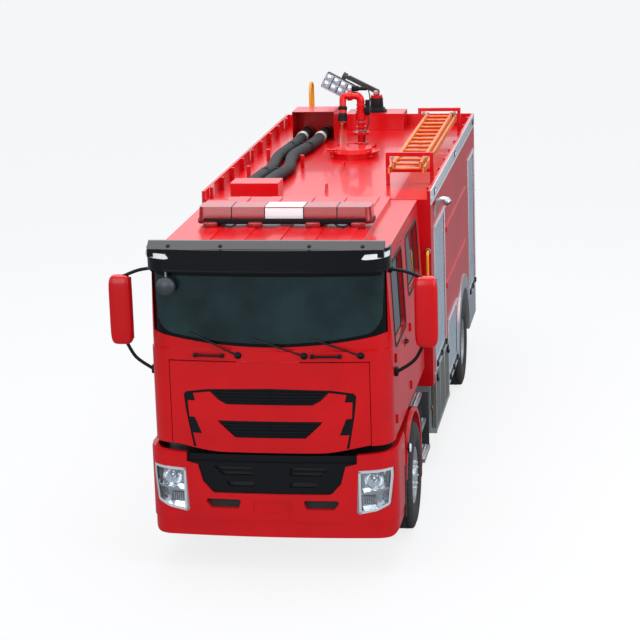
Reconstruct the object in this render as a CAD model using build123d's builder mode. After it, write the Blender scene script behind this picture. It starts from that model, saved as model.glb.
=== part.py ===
"""Crew-cab water-tender fire truck: cab-over, one steered axle, one twin-tyred rear axle.

Frame: millimetres, +X the vehicle's left, +Y rearwards, +Z up from the ground.
Lengths along the truck are stations, counted from the bumper's front face.
"""
import os
from math import cos, radians, sin

from build123d import *

os.makedirs("parts", exist_ok=True)

# ---------------------------------------------------------------- driving sizes
length = 8560          # bumper face to rear underrun bar
front_axle = 1380      # station of the steered axle
wheelbase = 5270
gap = 0.3              # clearance between pieces that turn or slide on each other
seam = 5               # clearance round doors and lids

tyre_radius = 540
tyre_width = 300
rim_radius = 286
rim_wall = 14
rim_width = 250
twin_spacing = 340
front_track_half = 1080
rear_outer_half = 1080
tread_shoulder = 38

rail_top = 980
rail_depth = 260
rail_half = 430        # outer face of a frame rail
rail_flange = 80
rail_wall = 12
rail_front = 210
rail_rear = length - 260

cab_half = 1160
eave_half = 1115
cab_wall = 70
cab_floor_z = 1250
floor_thick = 50
belt_z = 2100
eave_z = 3020
cab_rear = 2860
rear_wall = 60
cab_nose = 75          # station of the cab's front wall at its centre
nose_bulge = 75        # how far the front curves back towards the corners
nose_corner = 230
pillar_back = 405      # rear edge of the windscreen pillar

tilt_station = 240     # cab tilt pivot
tilt_z = 900
tilt_tube = 25

body_half = 1230
body_front = 3090
tank_front = 4600
tank_rear = front_axle + wheelbase + 630
body_rear = length - 100
deck_z = 2970
rail_cap_z = 3120
parapet = 30
wheel_well = 690
well_inner = 560

axle_z = tyre_radius
rear_axle = front_axle + wheelbase
front_y = -length / 2


def at(station):
    """Frame Y of a station counted from the bumper's front face."""
    return front_y + station


def across(station):
    """Plane square to the truck at a station; sketches on it extrude towards the front."""
    return Plane.XZ.offset(-at(station))


def side_plane(x):
    """Plane along the truck at a given X; local x is frame Y, sketches extrude towards +X."""
    return Plane.YZ.offset(x)


def level(z):
    """Horizontal plane at a height; sketches on it extrude upwards."""
    return Plane.XY.offset(z)


def block(x, stations, z, mode=Mode.ADD):
    """Box between two X, two stations and two heights."""
    centre = ((x[0] + x[1]) / 2, at((stations[0] + stations[1]) / 2), (z[0] + z[1]) / 2)
    with Locations(centre):
        made = Box(x[1] - x[0], stations[1] - stations[0], z[1] - z[0], mode=mode)
    return made


def both_sides(x, stations, z, mode=Mode.ADD):
    """The same box on the left and on the right."""
    block(x, stations, z, mode)
    block((-x[1], -x[0]), stations, z, mode)


def rod(start, end, radius, mode=Mode.ADD):
    """Round bar between two (x, station, z) points."""
    a = Vector(start[0], at(start[1]), start[2])
    b = Vector(end[0], at(end[1]), end[2])
    with BuildSketch(Plane(origin=a, z_dir=b - a)) as section:
        Circle(radius)
    extrude(section.sketch, amount=(b - a).length, mode=mode)


def bent_tube(points, bends, radius):
    """Round tube along straight runs and tangent arcs through (x, station, z) points."""
    route = [Vector(x, at(station), z) for x, station, z in points]
    with BuildLine() as path:
        FilletPolyline(*route, radius=bends)
    with BuildSketch(Plane(origin=path.line @ 0, z_dir=path.line % 0)) as section:
        Circle(radius)
    sweep(section.sketch, path=path.line)


def front_view(station, *outlines, inset=0.0, corner=0.0):
    """Outlines of (x, z) points seen from the front, with their mirror images."""
    with BuildSketch(across(station)) as view:
        for outline in outlines:
            Polygon(*outline, align=None)
        if corner:
            fillet(view.vertices(), radius=corner)
        if inset:
            offset(amount=-inset)
        mirror(about=Plane.YZ)
    return view.sketch


def shell(plan, heights, insets, back):
    """Wall between two insets of a front plan, open at the back, between two heights."""
    with BuildPart() as wall:
        for inset, mode in ((insets[0], Mode.ADD), (insets[1], Mode.SUBTRACT)):
            with BuildSketch(level(heights[0])) as section:
                plan(inset)
                if mode == Mode.SUBTRACT:
                    with Locations((0, at(back))):
                        Rectangle(4 * cab_half, 20, mode=Mode.ADD)
            extrude(section.sketch, amount=heights[1] - heights[0], mode=mode)
    return wall.part


def save(name, piece):
    """Label a finished piece and write it."""
    piece.label = name
    export_step(piece, f"parts/{name}.step")


# ---------------------------------------------------------------- frame and driveline
with BuildPart() as frame_rails:
    channel = [
        (rail_half, rail_top - rail_depth), (rail_half, rail_top), (rail_half - rail_flange, rail_top),
        (rail_half - rail_flange, rail_top - rail_wall), (rail_half - rail_wall, rail_top - rail_wall),
        (rail_half - rail_wall, rail_top - rail_depth + rail_wall),
        (rail_half - rail_flange, rail_top - rail_depth + rail_wall),
        (rail_half - rail_flange, rail_top - rail_depth),
    ]
    with BuildSketch(across(rail_rear)):
        Polygon(*channel, align=None)
        mirror(about=Plane.YZ)
    extrude(amount=rail_rear - rail_front)
    for station in (2700, 3400, 4700, 5750, rail_rear - 800, rail_rear - 100):
        block((-rail_half + rail_wall, rail_half - rail_wall), (station, station + 70),
              (rail_top - rail_depth + 40, rail_top - 40))
    tilt_span = rail_half - rail_wall
    rod((-tilt_span, tilt_station, tilt_z), (tilt_span, tilt_station, tilt_z), tilt_tube)
save("frame_rails", frame_rails.part)

engine_top = 1360
engine_front = 900
engine_rear = 2050
with BuildPart() as engine_block:
    block((-330, 330), (engine_front, engine_rear), (560, engine_top))
    block((-340, 340), (620, 760), (600, 1200))
    block((-260, 260), (760, engine_front), (700, 1100))
    block((-190, 190), (engine_rear, 2520), (580, 940))
    for station in (1050, 1850):
        both_sides((300, rail_half), (station, station + 90), (rail_top, rail_top + 30))
    rod((0, 2520, 700), (0, rear_axle - 264, 560), 45)
save("engine_block", engine_block.part)

kingpin_x = 900
kingpin_radius = 30
spring_x = 390
spring_half = 40
with BuildPart() as front_beam:
    with BuildSketch(across(front_axle + 50)):
        with BuildLine():
            Polyline((0, 380), (600, 380), (kingpin_x - 20, 485), (kingpin_x - 20, 595), (800, 595), (560, 490), (0, 490))
            Line((0, 490), (0, 380))
        make_face()
        mirror(about=Plane.YZ)
    extrude(amount=100)
    for side in (-1, 1):
        with BuildSketch(level(480)):
            with Locations((side * kingpin_x, at(front_axle))):
                Circle(kingpin_radius + 16)
        extrude(amount=120)
        with BuildSketch(level(470)):
            with Locations((side * kingpin_x, at(front_axle))):
                Circle(kingpin_radius + gap)
        extrude(amount=140, mode=Mode.SUBTRACT)
    # leaf springs: shallow arcs from hanger to shackle, clamped on the beam
    with BuildSketch(side_plane(spring_x - spring_half)):
        with BuildLine():
            top = ThreePointArc((at(front_axle - 720), 700), (at(front_axle), 560), (at(front_axle + 720), 700))
            Line(top @ 1, (at(front_axle + 720), 675))
            low = ThreePointArc((at(front_axle + 720), 675), (at(front_axle), 485), (at(front_axle - 720), 675))
            Line(low @ 1, top @ 0)
        make_face()
        for station in (front_axle - 720, front_axle + 690):
            with Locations((at(station + 15), 690)):
                Rectangle(30, rail_top - rail_depth - 660)
    extrude(amount=2 * spring_half)
    mirror(about=Plane.YZ)
save("front_axle", front_beam.part)

spindle_radius = 45
with BuildPart() as rear_beam:
    with BuildSketch(across(rear_axle)):
        with BuildLine():
            Polyline((0, axle_z), (0, axle_z + 215), (60, axle_z + 210), (170, axle_z + 130), (300, axle_z + 75),
                     (590, axle_z + 70), (590, axle_z + 205), (690, axle_z + 205), (690, axle_z + spindle_radius),
                     (1000, axle_z + spindle_radius), (1000, axle_z), (0, axle_z))
        make_face()
        mirror(about=Plane.YZ)
    revolve(axis=Axis((0, at(rear_axle), axle_z), (1, 0, 0)))
    rod((0, rear_axle - 262, 560), (0, rear_axle - 100, 550), 80)
    with BuildSketch(side_plane(spring_x - spring_half)):
        with BuildLine():
            top = ThreePointArc((at(rear_axle - 800), 700), (at(rear_axle), 650), (at(rear_axle + 800), 700))
            Line(top @ 1, (at(rear_axle + 800), 670))
            low = ThreePointArc((at(rear_axle + 800), 670), (at(rear_axle), 560), (at(rear_axle - 800), 670))
            Line(low @ 1, top @ 0)
        make_face()
        for station in (rear_axle - 800, rear_axle + 770):
            with Locations((at(station + 15), 690)):
                Rectangle(30, rail_top - rail_depth - 660)
    extrude(amount=2 * spring_half)
    mirror(about=Plane.YZ)
save("rear_axle", rear_beam.part)


# ---------------------------------------------------------------- wheels
def tyre_ring(x):
    """One tyre centred at a given X: rounded shoulders, bulged walls, solid down to the bead."""
    half = tyre_width / 2
    with BuildSketch(wheel_plane) as section:
        with BuildLine():
            Polyline((x - half + 34, axle_z + rim_radius), (x - half, axle_z + 380),
                     (x - half + 8, axle_z + tyre_radius - tread_shoulder),
                     (x - half + tread_shoulder, axle_z + tyre_radius),
                     (x + half - tread_shoulder, axle_z + tyre_radius),
                     (x + half - 8, axle_z + tyre_radius - tread_shoulder),
                     (x + half, axle_z + 380), (x + half - 34, axle_z + rim_radius), close=True)
        make_face()
    revolve(section.sketch, axis=wheel_axis)


def turned(points):
    """Solid turned about the wheel's axle from (x, radius) points."""
    with BuildSketch(wheel_plane) as section:
        with BuildLine():
            Polyline(*[(x, axle_z + radius) for x, radius in points], close=True)
        make_face()
    revolve(section.sketch, axis=wheel_axis)


hand_holes = 10
stub_end = 1130
wheel_plane = across(front_axle)
wheel_axis = Axis((0, at(front_axle), axle_z), (1, 0, 0))
rim_half = rim_width / 2

with BuildPart() as left_front_tyre:
    tyre_ring(front_track_half)
with BuildPart() as left_front_rim:
    x = front_track_half
    barrel = rim_radius - rim_wall
    turned([(x - rim_half, rim_radius), (x + rim_half, rim_radius), (x + rim_half, barrel), (x - rim_half, barrel)])
    # disc dished outwards to the bolting face, with the hub through it
    turned([(x + 20, barrel + 2), (x + 34, barrel + 2), (x + 100, 170), (x + 100, 100), (x + 88, 100), (x + 88, 166)])
    turned([(x - 15, spindle_radius + gap), (x - 15, 95), (x + 60, 110), (x + 100, 110), (x + 135, 85),
            (x + 145, 70), (x + 145, 0), (stub_end + gap, 0), (stub_end + gap, spindle_radius + gap)])
    with BuildSketch(side_plane(x + 20)):
        with Locations((at(front_axle), axle_z)):
            with PolarLocations(205, hand_holes):
                SlotOverall(52, 40, rotation=90)
    extrude(amount=90, mode=Mode.SUBTRACT)

with BuildPart() as left_knuckle:
    # fork over the beam's eye, king pin through it, brake drum and stub
    for low, high in ((430, 470), (610, 650)):
        with BuildSketch(level(low)):
            with Locations((kingpin_x, at(front_axle))):
                Circle(kingpin_radius + 18)
            with Locations((kingpin_x + 40, at(front_axle))):
                Rectangle(80, 90)
        extrude(amount=high - low)
    with BuildSketch(level(430)):
        with Locations((kingpin_x, at(front_axle))):
            Circle(kingpin_radius)
    extrude(amount=220)
    block((kingpin_x + 56, kingpin_x + 80), (front_axle - 45, front_axle + 45), (430, 650))
    rod((kingpin_x + 70, front_axle, axle_z), (kingpin_x + 150, front_axle, axle_z), 200)
    rod((kingpin_x + 150, front_axle, axle_z), (stub_end, front_axle, axle_z), spindle_radius)

wheel_plane = across(rear_axle)
wheel_axis = Axis((0, at(rear_axle), axle_z), (1, 0, 0))
rear_inner_half = rear_outer_half - twin_spacing
with BuildPart() as left_rear_tyre:
    for x in (rear_inner_half, rear_outer_half):
        tyre_ring(x)
with BuildPart() as left_rear_rim:
    for x in (rear_inner_half, rear_outer_half):
        turned([(x - rim_half, rim_radius), (x + rim_half, rim_radius), (x + rim_half, barrel), (x - rim_half, barrel)])
    middle = (rear_inner_half + rear_outer_half) / 2
    turned([(rear_outer_half - rim_half, barrel + 2), (rear_outer_half - rim_half + 14, barrel + 2),
            (middle + 14, 180), (middle + 14, 90), (middle, 90), (middle, 180)])
    turned([(rear_inner_half + rim_half, barrel + 2), (rear_inner_half + rim_half - 14, barrel + 2),
            (middle - 14, 180), (middle - 14, 90), (middle, 90), (middle, 180)])
    turned([(690 + seam, spindle_radius + gap), (690 + seam, 120), (1010, 120), (1060, 95), (1070, 80), (1070, 0),
            (1000 + gap, 0), (1000 + gap, spindle_radius + gap)])
    with BuildSketch(side_plane(middle - 40)):
        with Locations((at(rear_axle), axle_z)):
            with PolarLocations(212, hand_holes):
                SlotOverall(48, 36, rotation=90)
    extrude(amount=80, mode=Mode.SUBTRACT)

for name, piece in (("front_tyre", left_front_tyre), ("front_rim", left_front_rim), ("knuckle", left_knuckle),
                    ("rear_tyre", left_rear_tyre), ("rear_rim", left_rear_rim)):
    with BuildPart() as right_piece:
        mirror(piece.part, about=Plane.YZ)
    save("left_" + name, piece.part)
    save("right_" + name, right_piece.part)


# ---------------------------------------------------------------- front end on the frame
def nose(inset, nose_station, half, bulge, corner, back):
    """Plan of a bowed front with rounded corners, drawn on the active level plane."""
    with BuildLine() as outline:
        ThreePointArc((-half + inset, at(nose_station + bulge + inset)), (0, at(nose_station + inset)),
                      (half - inset, at(nose_station + bulge + inset)))
        Polyline((half - inset, at(nose_station + bulge + inset)), (half - inset, at(back)),
                 (-half + inset, at(back)), (-half + inset, at(nose_station + bulge + inset)))
    plan = make_face(outline.edges())
    front_corners = plan.vertices().sort_by(Axis.Y)[0:2]
    fillet(front_corners, radius=corner - inset)


def bumper_plan(inset):
    nose(inset, 0, bumper_half, 60, 220, bumper_back)


def cab_plan(inset, back=pillar_back):
    nose(inset, cab_nose, cab_half, nose_bulge, nose_corner, back)


def lid_plan(inset):
    nose(inset, lid_front, cab_half, nose_bulge, nose_corner, pillar_back)


bumper_half = 1200
bumper_back = 700
bumper_low = 340
bumper_wall = 60
bumper_edge = 90       # radius of the bumper's lower corners
skirt_top = 500
skirt_inset = 10
mouth_half = 822
mouth_round = 60
# top edge of the bumper from the grille mouth to the corner: (x, z)
top_edge = [(mouth_half, 1165), (1060, 1186), (bumper_half, 1216)]
# set-back shoulder above the headlamp
shoulder = [(mouth_half - 10, 1120), (1230, 1193), (1230, 1240), (mouth_half - 10, 1240)]
shoulder_step = 8
# grille mouth from its lower corner to the foot of the gloss strip
mouth = [(568, 774), (668, 886), (712, 1053), (mouth_half, 1080)]
intake = [(296, 716), (326, 624), (596, 624), (665, 716)]
plate_size = (370, 112)
plate_z = 645
plate_depth = 14
lamp_outline = [(832, 1015), (1165, 1040), (1132, 668), (998, 614), (810, 583)]
lamp_depth = 150
lamp_back = 330

with BuildPart() as front_bumper:
    add(shell(bumper_plan, (skirt_top, 1230), (0, bumper_wall), bumper_back))
    add(shell(bumper_plan, (bumper_low, skirt_top), (skirt_inset, bumper_wall), bumper_back))
    with BuildSketch(across(bumper_back + 20)) as face:
        Polygon((-bumper_half, bumper_low), (bumper_half, bumper_low), *reversed(top_edge),
                *[(-x, z) for x, z in top_edge], align=None)
        fillet(face.vertices().group_by(Axis.Y)[0], radius=bumper_edge)
    extrude(face.sketch, amount=bumper_back + 60, mode=Mode.INTERSECT)
    with BuildSketch(across(bumper_wall + 60)) as opening:
        Polygon(*[(-x, z) for x, z in mouth], (-mouth_half, 1250), (mouth_half, 1250),
                *reversed(mouth), align=None)
        fillet(opening.vertices().group_by(Axis.Y)[0], radius=mouth_round)
    extrude(opening.sketch, amount=200, mode=Mode.SUBTRACT)
    extrude(front_view(bumper_wall + 60, intake, corner=24), amount=200, mode=Mode.SUBTRACT)
    extrude(front_view(lamp_back, lamp_outline, corner=20), amount=600, mode=Mode.SUBTRACT)
    with BuildPart(mode=Mode.SUBTRACT):
        add(shell(bumper_plan, (1100, 1240), (-2, shoulder_step), bumper_back))
        extrude(front_view(bumper_back, shoulder), amount=bumper_back + 60, mode=Mode.INTERSECT)
    with BuildSketch(across(plate_depth)) as recess:
        with Locations((0, plate_z)):
            RectangleRounded(*plate_size, 24)
    extrude(recess.sketch, amount=40, mode=Mode.SUBTRACT)
    # carrier beam and the arms that bolt to the rails' ends
    block((-760, 760), (bumper_wall - 5, 130), (480, 600))
    both_sides((rail_half - rail_flange, rail_half), (120, rail_front), (480, 900))
save("front_bumper", front_bumper.part)

lamp_rim = 22
lamp_cavity = 75
bowl_x = 975
bowl_z = 918
bowl_radius = 92
bowl_front = 82
bowl_back = 150
# chrome bar across the lamp and the divider of the lower compartments: (x, z) corners
lamp_bar = [(840, 766), (1145, 827), (1145, 849), (840, 788)]
lamp_divider = [(988, 620), (1002, 620), (1008, 810), (994, 810)]
with BuildPart() as headlamps:
    add(shell(bumper_plan, (560, 1060), (6, lamp_depth), bumper_back))
    extrude(front_view(lamp_back, lamp_outline, corner=20, inset=gap), amount=600, mode=Mode.INTERSECT)
    with BuildPart(mode=Mode.SUBTRACT):
        add(shell(bumper_plan, (560, 1060), (0, lamp_cavity), bumper_back))
        extrude(front_view(lamp_back, lamp_outline, corner=20, inset=lamp_rim), amount=600, mode=Mode.INTERSECT)
    for outline, front in ((lamp_bar, 12), (lamp_divider, 30)):
        with BuildPart():
            add(shell(bumper_plan, (560, 1060), (front, lamp_cavity + 2), bumper_back))
            extrude(front_view(lamp_back, outline), amount=600, mode=Mode.INTERSECT)
            extrude(front_view(lamp_back, lamp_outline, corner=20, inset=2), amount=600, mode=Mode.INTERSECT)
    # reflector: a ring on the housing's floor, hollowed to a bowl, with the bulb's shield in it
    for side in (-1, 1):
        rod((side * bowl_x, bowl_back, bowl_z), (side * bowl_x, bowl_front, bowl_z), bowl_radius + 6)
        with BuildSketch(side_plane(side * bowl_x)) as bowl:
            with BuildLine() as rim:
                wall = ThreePointArc((at(bowl_front - 1), bowl_z + bowl_radius), (at(bowl_back - 28), bowl_z + 68),
                                     (at(bowl_back - 4), bowl_z))
                Polyline(wall @ 1, (at(bowl_front - 1), bowl_z), wall @ 0)
            make_face(rim.edges())
        revolve(bowl.sketch, axis=Axis((side * bowl_x, at(bowl_front), bowl_z), (0, 1, 0)), mode=Mode.SUBTRACT)
        rod((side * bowl_x, bowl_back, bowl_z), (side * bowl_x, bowl_front + 14, bowl_z), 20)
save("headlamps", headlamps.part)

strip_low = 1083
strip_high = 1150
strip_inset = 44
grille_inset = 18
grille_back = 44
upper_opening = [(180, 955), (477, 953), (557, 1039), (180, 1039)]
lower_opening = [(173, 841), (412, 841), (439, 891), (173, 891)]
with BuildPart() as lower_grille:
    # plate across the mouth, and the gloss strip set back above it
    add(shell(bumper_plan, (mouth[0][1], strip_low), (grille_inset, grille_back + 4), bumper_back))
    add(shell(bumper_plan, (strip_low - 4, strip_high), (strip_inset, strip_inset + 24), bumper_back))
    with BuildSketch(across(400)) as opening:
        Polygon(*[(-x, z) for x, z in mouth], (-mouth_half, 1250), (mouth_half, 1250),
                *reversed(mouth), align=None)
        fillet(opening.vertices().group_by(Axis.Y)[0], radius=mouth_round)
        offset(amount=-gap)
    extrude(opening.sketch, amount=500, mode=Mode.INTERSECT)
    extrude(front_view(200, upper_opening, lower_opening), amount=300, mode=Mode.SUBTRACT)
    with BuildPart():
        add(shell(bumper_plan, (989, 1003), (grille_inset + 8, grille_back), bumper_back))
        block((-530, 530), (-20, 300), (980, 1010), mode=Mode.INTERSECT)
save("lower_grille", lower_grille.part)

fender_inner = 645
fender_outer = 692
with BuildPart() as front_fenders:
    with BuildSketch(side_plane(960)):
        with Locations((at(front_axle), axle_z)):
            Circle(fender_inner + 10)
            Circle(fender_inner, mode=Mode.SUBTRACT)
    extrude(amount=250)
    with BuildSketch(side_plane(1180)):
        with Locations((at(front_axle), axle_z)):
            Circle(fender_outer)
            Circle(fender_inner, mode=Mode.SUBTRACT)
    extrude(amount=30)
    block((900, 1300), (600, front_axle), (-300, 700), mode=Mode.SUBTRACT)
    block((900, 1300), (front_axle - 1, 2200), (-300, axle_z), mode=Mode.SUBTRACT)
    block((900, 1300), (600, bumper_back + seam), (-300, 1300), mode=Mode.SUBTRACT)
    # mud flap under the arch's rear end, and the bracket that carries the arch from the rail
    block((960, 1210), (front_axle + fender_inner, front_axle + fender_inner + 10), (330, axle_z + 1))
    block((rail_half, 980), (1990, 2050), (745, 790))
    mirror(about=Plane.YZ)
save("front_fenders", front_fenders.part)

# crew-cab steps behind the wheel: one bracketed stair each side
step_front = 2110
step_rear = 2640
step_wall = cab_half - 150
with BuildPart() as cab_steps:
    block((step_wall, step_wall + 20), (step_front, step_rear), (430, 1040))
    for low, reach in ((430, body_half), (720, body_half - 40), (1000, body_half - 80)):
        block((step_wall, reach), (step_front, step_rear), (low, low + 40))
    for station in (step_front + 60, step_rear - 140):
        block((rail_half, step_wall + 2), (station, station + 80), (740, 820))
    mirror(about=Plane.YZ)
save("cab_steps", cab_steps.part)


# ---------------------------------------------------------------- body modules
# tall side shutters: front station, rear station, low, high
locker_door = (body_front + 310, tank_front - 130, 1100, 2630)
pump_door = (tank_rear + 220, body_rear - 140, 920, 2630)
tank_door = (tank_front + 180, tank_front + 1180, 560, 1250)
rear_door = (-620, 620, 1150, 2630)
shutter_depth = 30
shutter_thick = 22
rib = 15

flap_low = 400
flap_high = 1075
flap_stations = (3300, 4720)
flap_thick = 40
flap_clear = 8
lug_station = (3880, 5210)
lug_hole = 25
lug_thick = 16


def flap_pocket():
    """Cut the step flaps' recess from both sides of a body module."""
    both_sides((body_half - flap_thick - flap_clear, body_half + 10),
               (flap_stations[0] - seam, flap_stations[1] + seam), (rail_top - 1, flap_high + seam), mode=Mode.SUBTRACT)


def lifting_lug(station):
    """Trapezoid lifting eye on the deck's centre line."""
    with BuildSketch(side_plane(-lug_thick / 2)) as lug:
        with Locations((at(station), deck_z + 43)):
            Trapezoid(180, 90, 64)
        with Locations((at(station), deck_z + 50)):
            Circle(lug_hole, mode=Mode.SUBTRACT)
    extrude(lug.sketch, amount=lug_thick)


with BuildPart() as equipment_locker:
    block((-body_half, body_half), (body_front, tank_front), (rail_top, deck_z))
    flap_pocket()
    lifting_lug(lug_station[0])
    both_sides((body_half - shutter_depth, body_half + 10), locker_door[0:2], locker_door[2:4], mode=Mode.SUBTRACT)
save("equipment_locker", equipment_locker.part)


def wheel_wells():
    """Cut the rear wheels' wells from both sides of a body module."""
    for side in (-1, 1):
        start = side_plane(well_inner if side > 0 else -body_half - 20)
        with BuildSketch(start) as well:
            with Locations((at(rear_axle), axle_z)):
                Circle(wheel_well)
        extrude(well.sketch, amount=body_half + 20 - well_inner, mode=Mode.SUBTRACT)


manhole_station = 6100
manhole_depth = 200
manhole_radius = 290
neck_top = 3030

with BuildPart() as water_tank:
    block((-body_half, body_half), (tank_front, tank_rear), (rail_top, deck_z))
    wheel_wells()
    flap_pocket()
    lifting_lug(lug_station[1])
    both_sides((body_half - shutter_depth, body_half + 10), tank_door[0:2], (rail_top - 1, tank_door[3]),
               mode=Mode.SUBTRACT)
    for height in (1730, 2385):
        both_sides((body_half - 1, body_half + rib), (tank_front + 20, 7100), (height - 30, height + 30))
    with BuildSketch(level(deck_z)):
        with Locations((0, at(manhole_station))):
            Circle(manhole_radius)
    extrude(amount=neck_top - deck_z)
    with BuildSketch(level(deck_z - manhole_depth)):
        with Locations((0, at(manhole_station))):
            Circle(manhole_radius - 30)
    extrude(amount=neck_top - deck_z + manhole_depth, mode=Mode.SUBTRACT)
save("water_tank", water_tank.part)

tower_box_top = 3190
tower_station = body_rear - 240
arm_pivot_z = 3440
arm_half = 35
arm_eye = 38
cheek = 14
with BuildPart() as pump_house:
    block((-body_half, body_half), (tank_rear, body_rear), (rail_top, deck_z))
    wheel_wells()
    both_sides((body_half - shutter_depth, body_half + 10), pump_door[0:2], (rail_top - 1, pump_door[3]),
               mode=Mode.SUBTRACT)
    block(rear_door[0:2], (body_rear - shutter_depth, body_rear + 10), rear_door[2:4], mode=Mode.SUBTRACT)
    block((-370, 370), (body_rear - 460, body_rear - 40), (deck_z, tower_box_top))
    with BuildSketch(level(tower_box_top)):
        with Locations((0, at(tower_station))):
            Circle(75)
    extrude(amount=arm_pivot_z - arm_eye - gap - tower_box_top)
    # cheeks that hold the light arm's eye
    for low in (tower_station - arm_half - gap - cheek, tower_station + arm_half + gap):
        block((-32, 32), (low, low + cheek), (arm_pivot_z - 70, arm_pivot_z + 30))
save("pump_house", pump_house.part)

locker_low = 430
flare_outer = 845
flare_lip = 18
flare_deep = 230
with BuildPart() as side_lockers:
    block((well_inner, body_half - flap_thick - flap_clear), (3200, flap_stations[1] + 24), (locker_low, rail_top))
    block((well_inner, body_half - shutter_depth), (tank_door[0] - 20, tank_door[1] + 20), (550, rail_top))
    block((well_inner, body_half), (pump_door[0] - 60, body_rear - 60), (500, rail_top))
    block((body_half - shutter_depth, body_half + 10), pump_door[0:2], (pump_door[2], rail_top + 1),
          mode=Mode.SUBTRACT)
    # tabs at both ends of the step flap's hinge line
    for station in (flap_stations[0] - 24, flap_stations[1] + gap):
        block((body_half - 80, body_half + 8), (station, station + 24 - gap), (flap_low - 8, flap_low + 45))
    # wheel-arch flare: a lip inside the well and a broad face on the body side
    with BuildSketch(side_plane(body_half - flare_deep)):
        with Locations((at(rear_axle), axle_z)):
            Circle(wheel_well)
            Circle(wheel_well - flare_lip, mode=Mode.SUBTRACT)
        with Locations((at(rear_axle), axle_z - 500)):
            Rectangle(2000, 1000, mode=Mode.SUBTRACT)
    extrude(amount=flare_deep)
    with BuildSketch(side_plane(body_half)):
        with Locations((at(rear_axle), axle_z)):
            Circle(flare_outer)
            Circle(wheel_well - flare_lip, mode=Mode.SUBTRACT)
        with Locations((at(rear_axle), axle_z - 500)):
            Rectangle(2000, 1000, mode=Mode.SUBTRACT)
    extrude(amount=rib)
    mirror(about=Plane.YZ)
save("side_lockers", side_lockers.part)

slat_pitch = 62


def curtain(back, low, high):
    """Section of a shutter's slats: (depth, height) points outwards from its back face."""
    slats = round((high - low) / slat_pitch)
    pitch = (high - low) / slats
    front = back + shutter_thick
    points = [(back, high), (back, low)]
    for slat in range(slats):
        foot = low + slat * pitch
        points += [(front - 5, foot), (front - 5, foot + 5), (front, foot + 12), (front, foot + pitch)]
    return points


with BuildPart() as roller_shutters:
    for door in (locker_door, tank_door, pump_door):
        with BuildSketch(across(door[1] - 1)) as section:
            Polygon(*curtain(body_half - shutter_depth, door[2] + 1, door[3] - 1), align=None)
        extrude(section.sketch, amount=door[1] - door[0] - 2)
    mirror(about=Plane.YZ)
    with BuildSketch(side_plane(rear_door[0] + 1)) as section:
        Polygon(*curtain(at(body_rear - shutter_depth), rear_door[2] + 1, rear_door[3] - 1), align=None)
    extrude(section.sketch, amount=rear_door[1] - rear_door[0] - 2)
save("roller_shutters", roller_shutters.part)

with BuildPart() as deck_rails:
    both_sides((body_half - parapet, body_half), (body_front, body_rear), (deck_z, rail_cap_z))
    posts = range(body_front + 260, body_rear - 100, 600)
    for station in posts:
        both_sides((body_half - parapet - 35, body_half - parapet), (station, station + 40), (deck_z, rail_cap_z - 8))
    block((-body_half + parapet + gap, body_half - parapet - gap), (body_rear - parapet, body_rear),
          (deck_z, rail_cap_z))
    block((-body_half + parapet + gap, body_half - parapet - gap), (body_front, body_front + parapet),
          (deck_z, deck_z + 60))
save("deck_rails", deck_rails.part)

tow_pin = 20
tow_station = length - 70
bar_front = length - 140
with BuildPart() as rear_bumper:
    block((-1150, 1150), (bar_front, length), (440, 560))
    both_sides((rail_half - rail_flange, rail_half), (rail_rear, bar_front + 5), (450, 900))
    both_sides((760, 1150), (body_rear - 10, length - 30), (700, 860))
    both_sides((800, 880), (bar_front + 5, length - 60), (550, 710))
    block((-150, 150), (rail_rear, bar_front + 5), (500, 800))
    # towing jaw: two cheeks bored for the drawbar pin
    for low in (600, 690):
        block((-60, 60), (bar_front + 4, length - 20), (low, low + 30))
    rod((0, tow_station, 590), (0, tow_station, 730), tow_pin, mode=Mode.SUBTRACT)
save("rear_bumper", rear_bumper.part)

ladder_rails = (-880, -470)
ladder_station = body_rear + 60
hoop_top = rail_cap_z + 420
with BuildPart() as rear_ladder:
    for x in ladder_rails:
        bent_tube([(x, ladder_station, 870), (x, ladder_station, hoop_top), (x, body_rear - 160, hoop_top),
                   (x, body_rear - 160, deck_z)], 100, 16)
        for z in (1000, 2760):
            rod((x, body_rear, z), (x, ladder_station, z), 12)
    for z in range(960, deck_z - 10, 300):
        rod((ladder_rails[0], ladder_station, z), (ladder_rails[1], ladder_station, z), 13)
save("rear_ladder", rear_ladder.part)

# ---------------------------------------------------------------- deck equipment
hose_radius = 68
tray_wall = 5
hose_z = deck_z + tray_wall + hose_radius + gap
front_box = (-1010, -480, 3540, 3860, rail_cap_z)
rear_box = (-930, -400, 7160, 7600, deck_z + 380)
with BuildPart() as hose_tray:
    for x0, x1, s0, s1, top in (front_box, rear_box):
        opening = s0 if s0 > 5000 else s1
        inner = (s0 if opening == s0 else s0 + tray_wall, s1 if opening == s1 else s1 - tray_wall)
        block((x0, x1), (s0, s1), (deck_z, top))
        block((x0 + tray_wall, x1 - tray_wall), (inner[0] - (opening == s0), inner[1] + (opening == s1)),
              (deck_z + tray_wall, top - tray_wall), mode=Mode.SUBTRACT)
    for x, station in ((-505, 5315), (-985, 5725), (-1010, 4600)):
        block((x - 20, x + 20), (station, station + 40), (deck_z, deck_z + 150))
save("hose_tray", hose_tray.part)

# hose routes: (x, station) of the bends, front end first
hose_routes = {
    0: [(-850, 3560), (-850, 4150), (-795, 4900), (-850, 5700), (-800, 6500), (-790, 7580)],
    1: [(-670, 3560), (-670, 4150), (-600, 4900), (-680, 5700), (-590, 6500), (-550, 7580)],
}
with BuildPart() as suction_hoses:
    for route in hose_routes.values():
        bent_tube([(x, station, hose_z) for x, station in route], 1500, hose_radius)
save("suction_hoses", suction_hoses.part)

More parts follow.
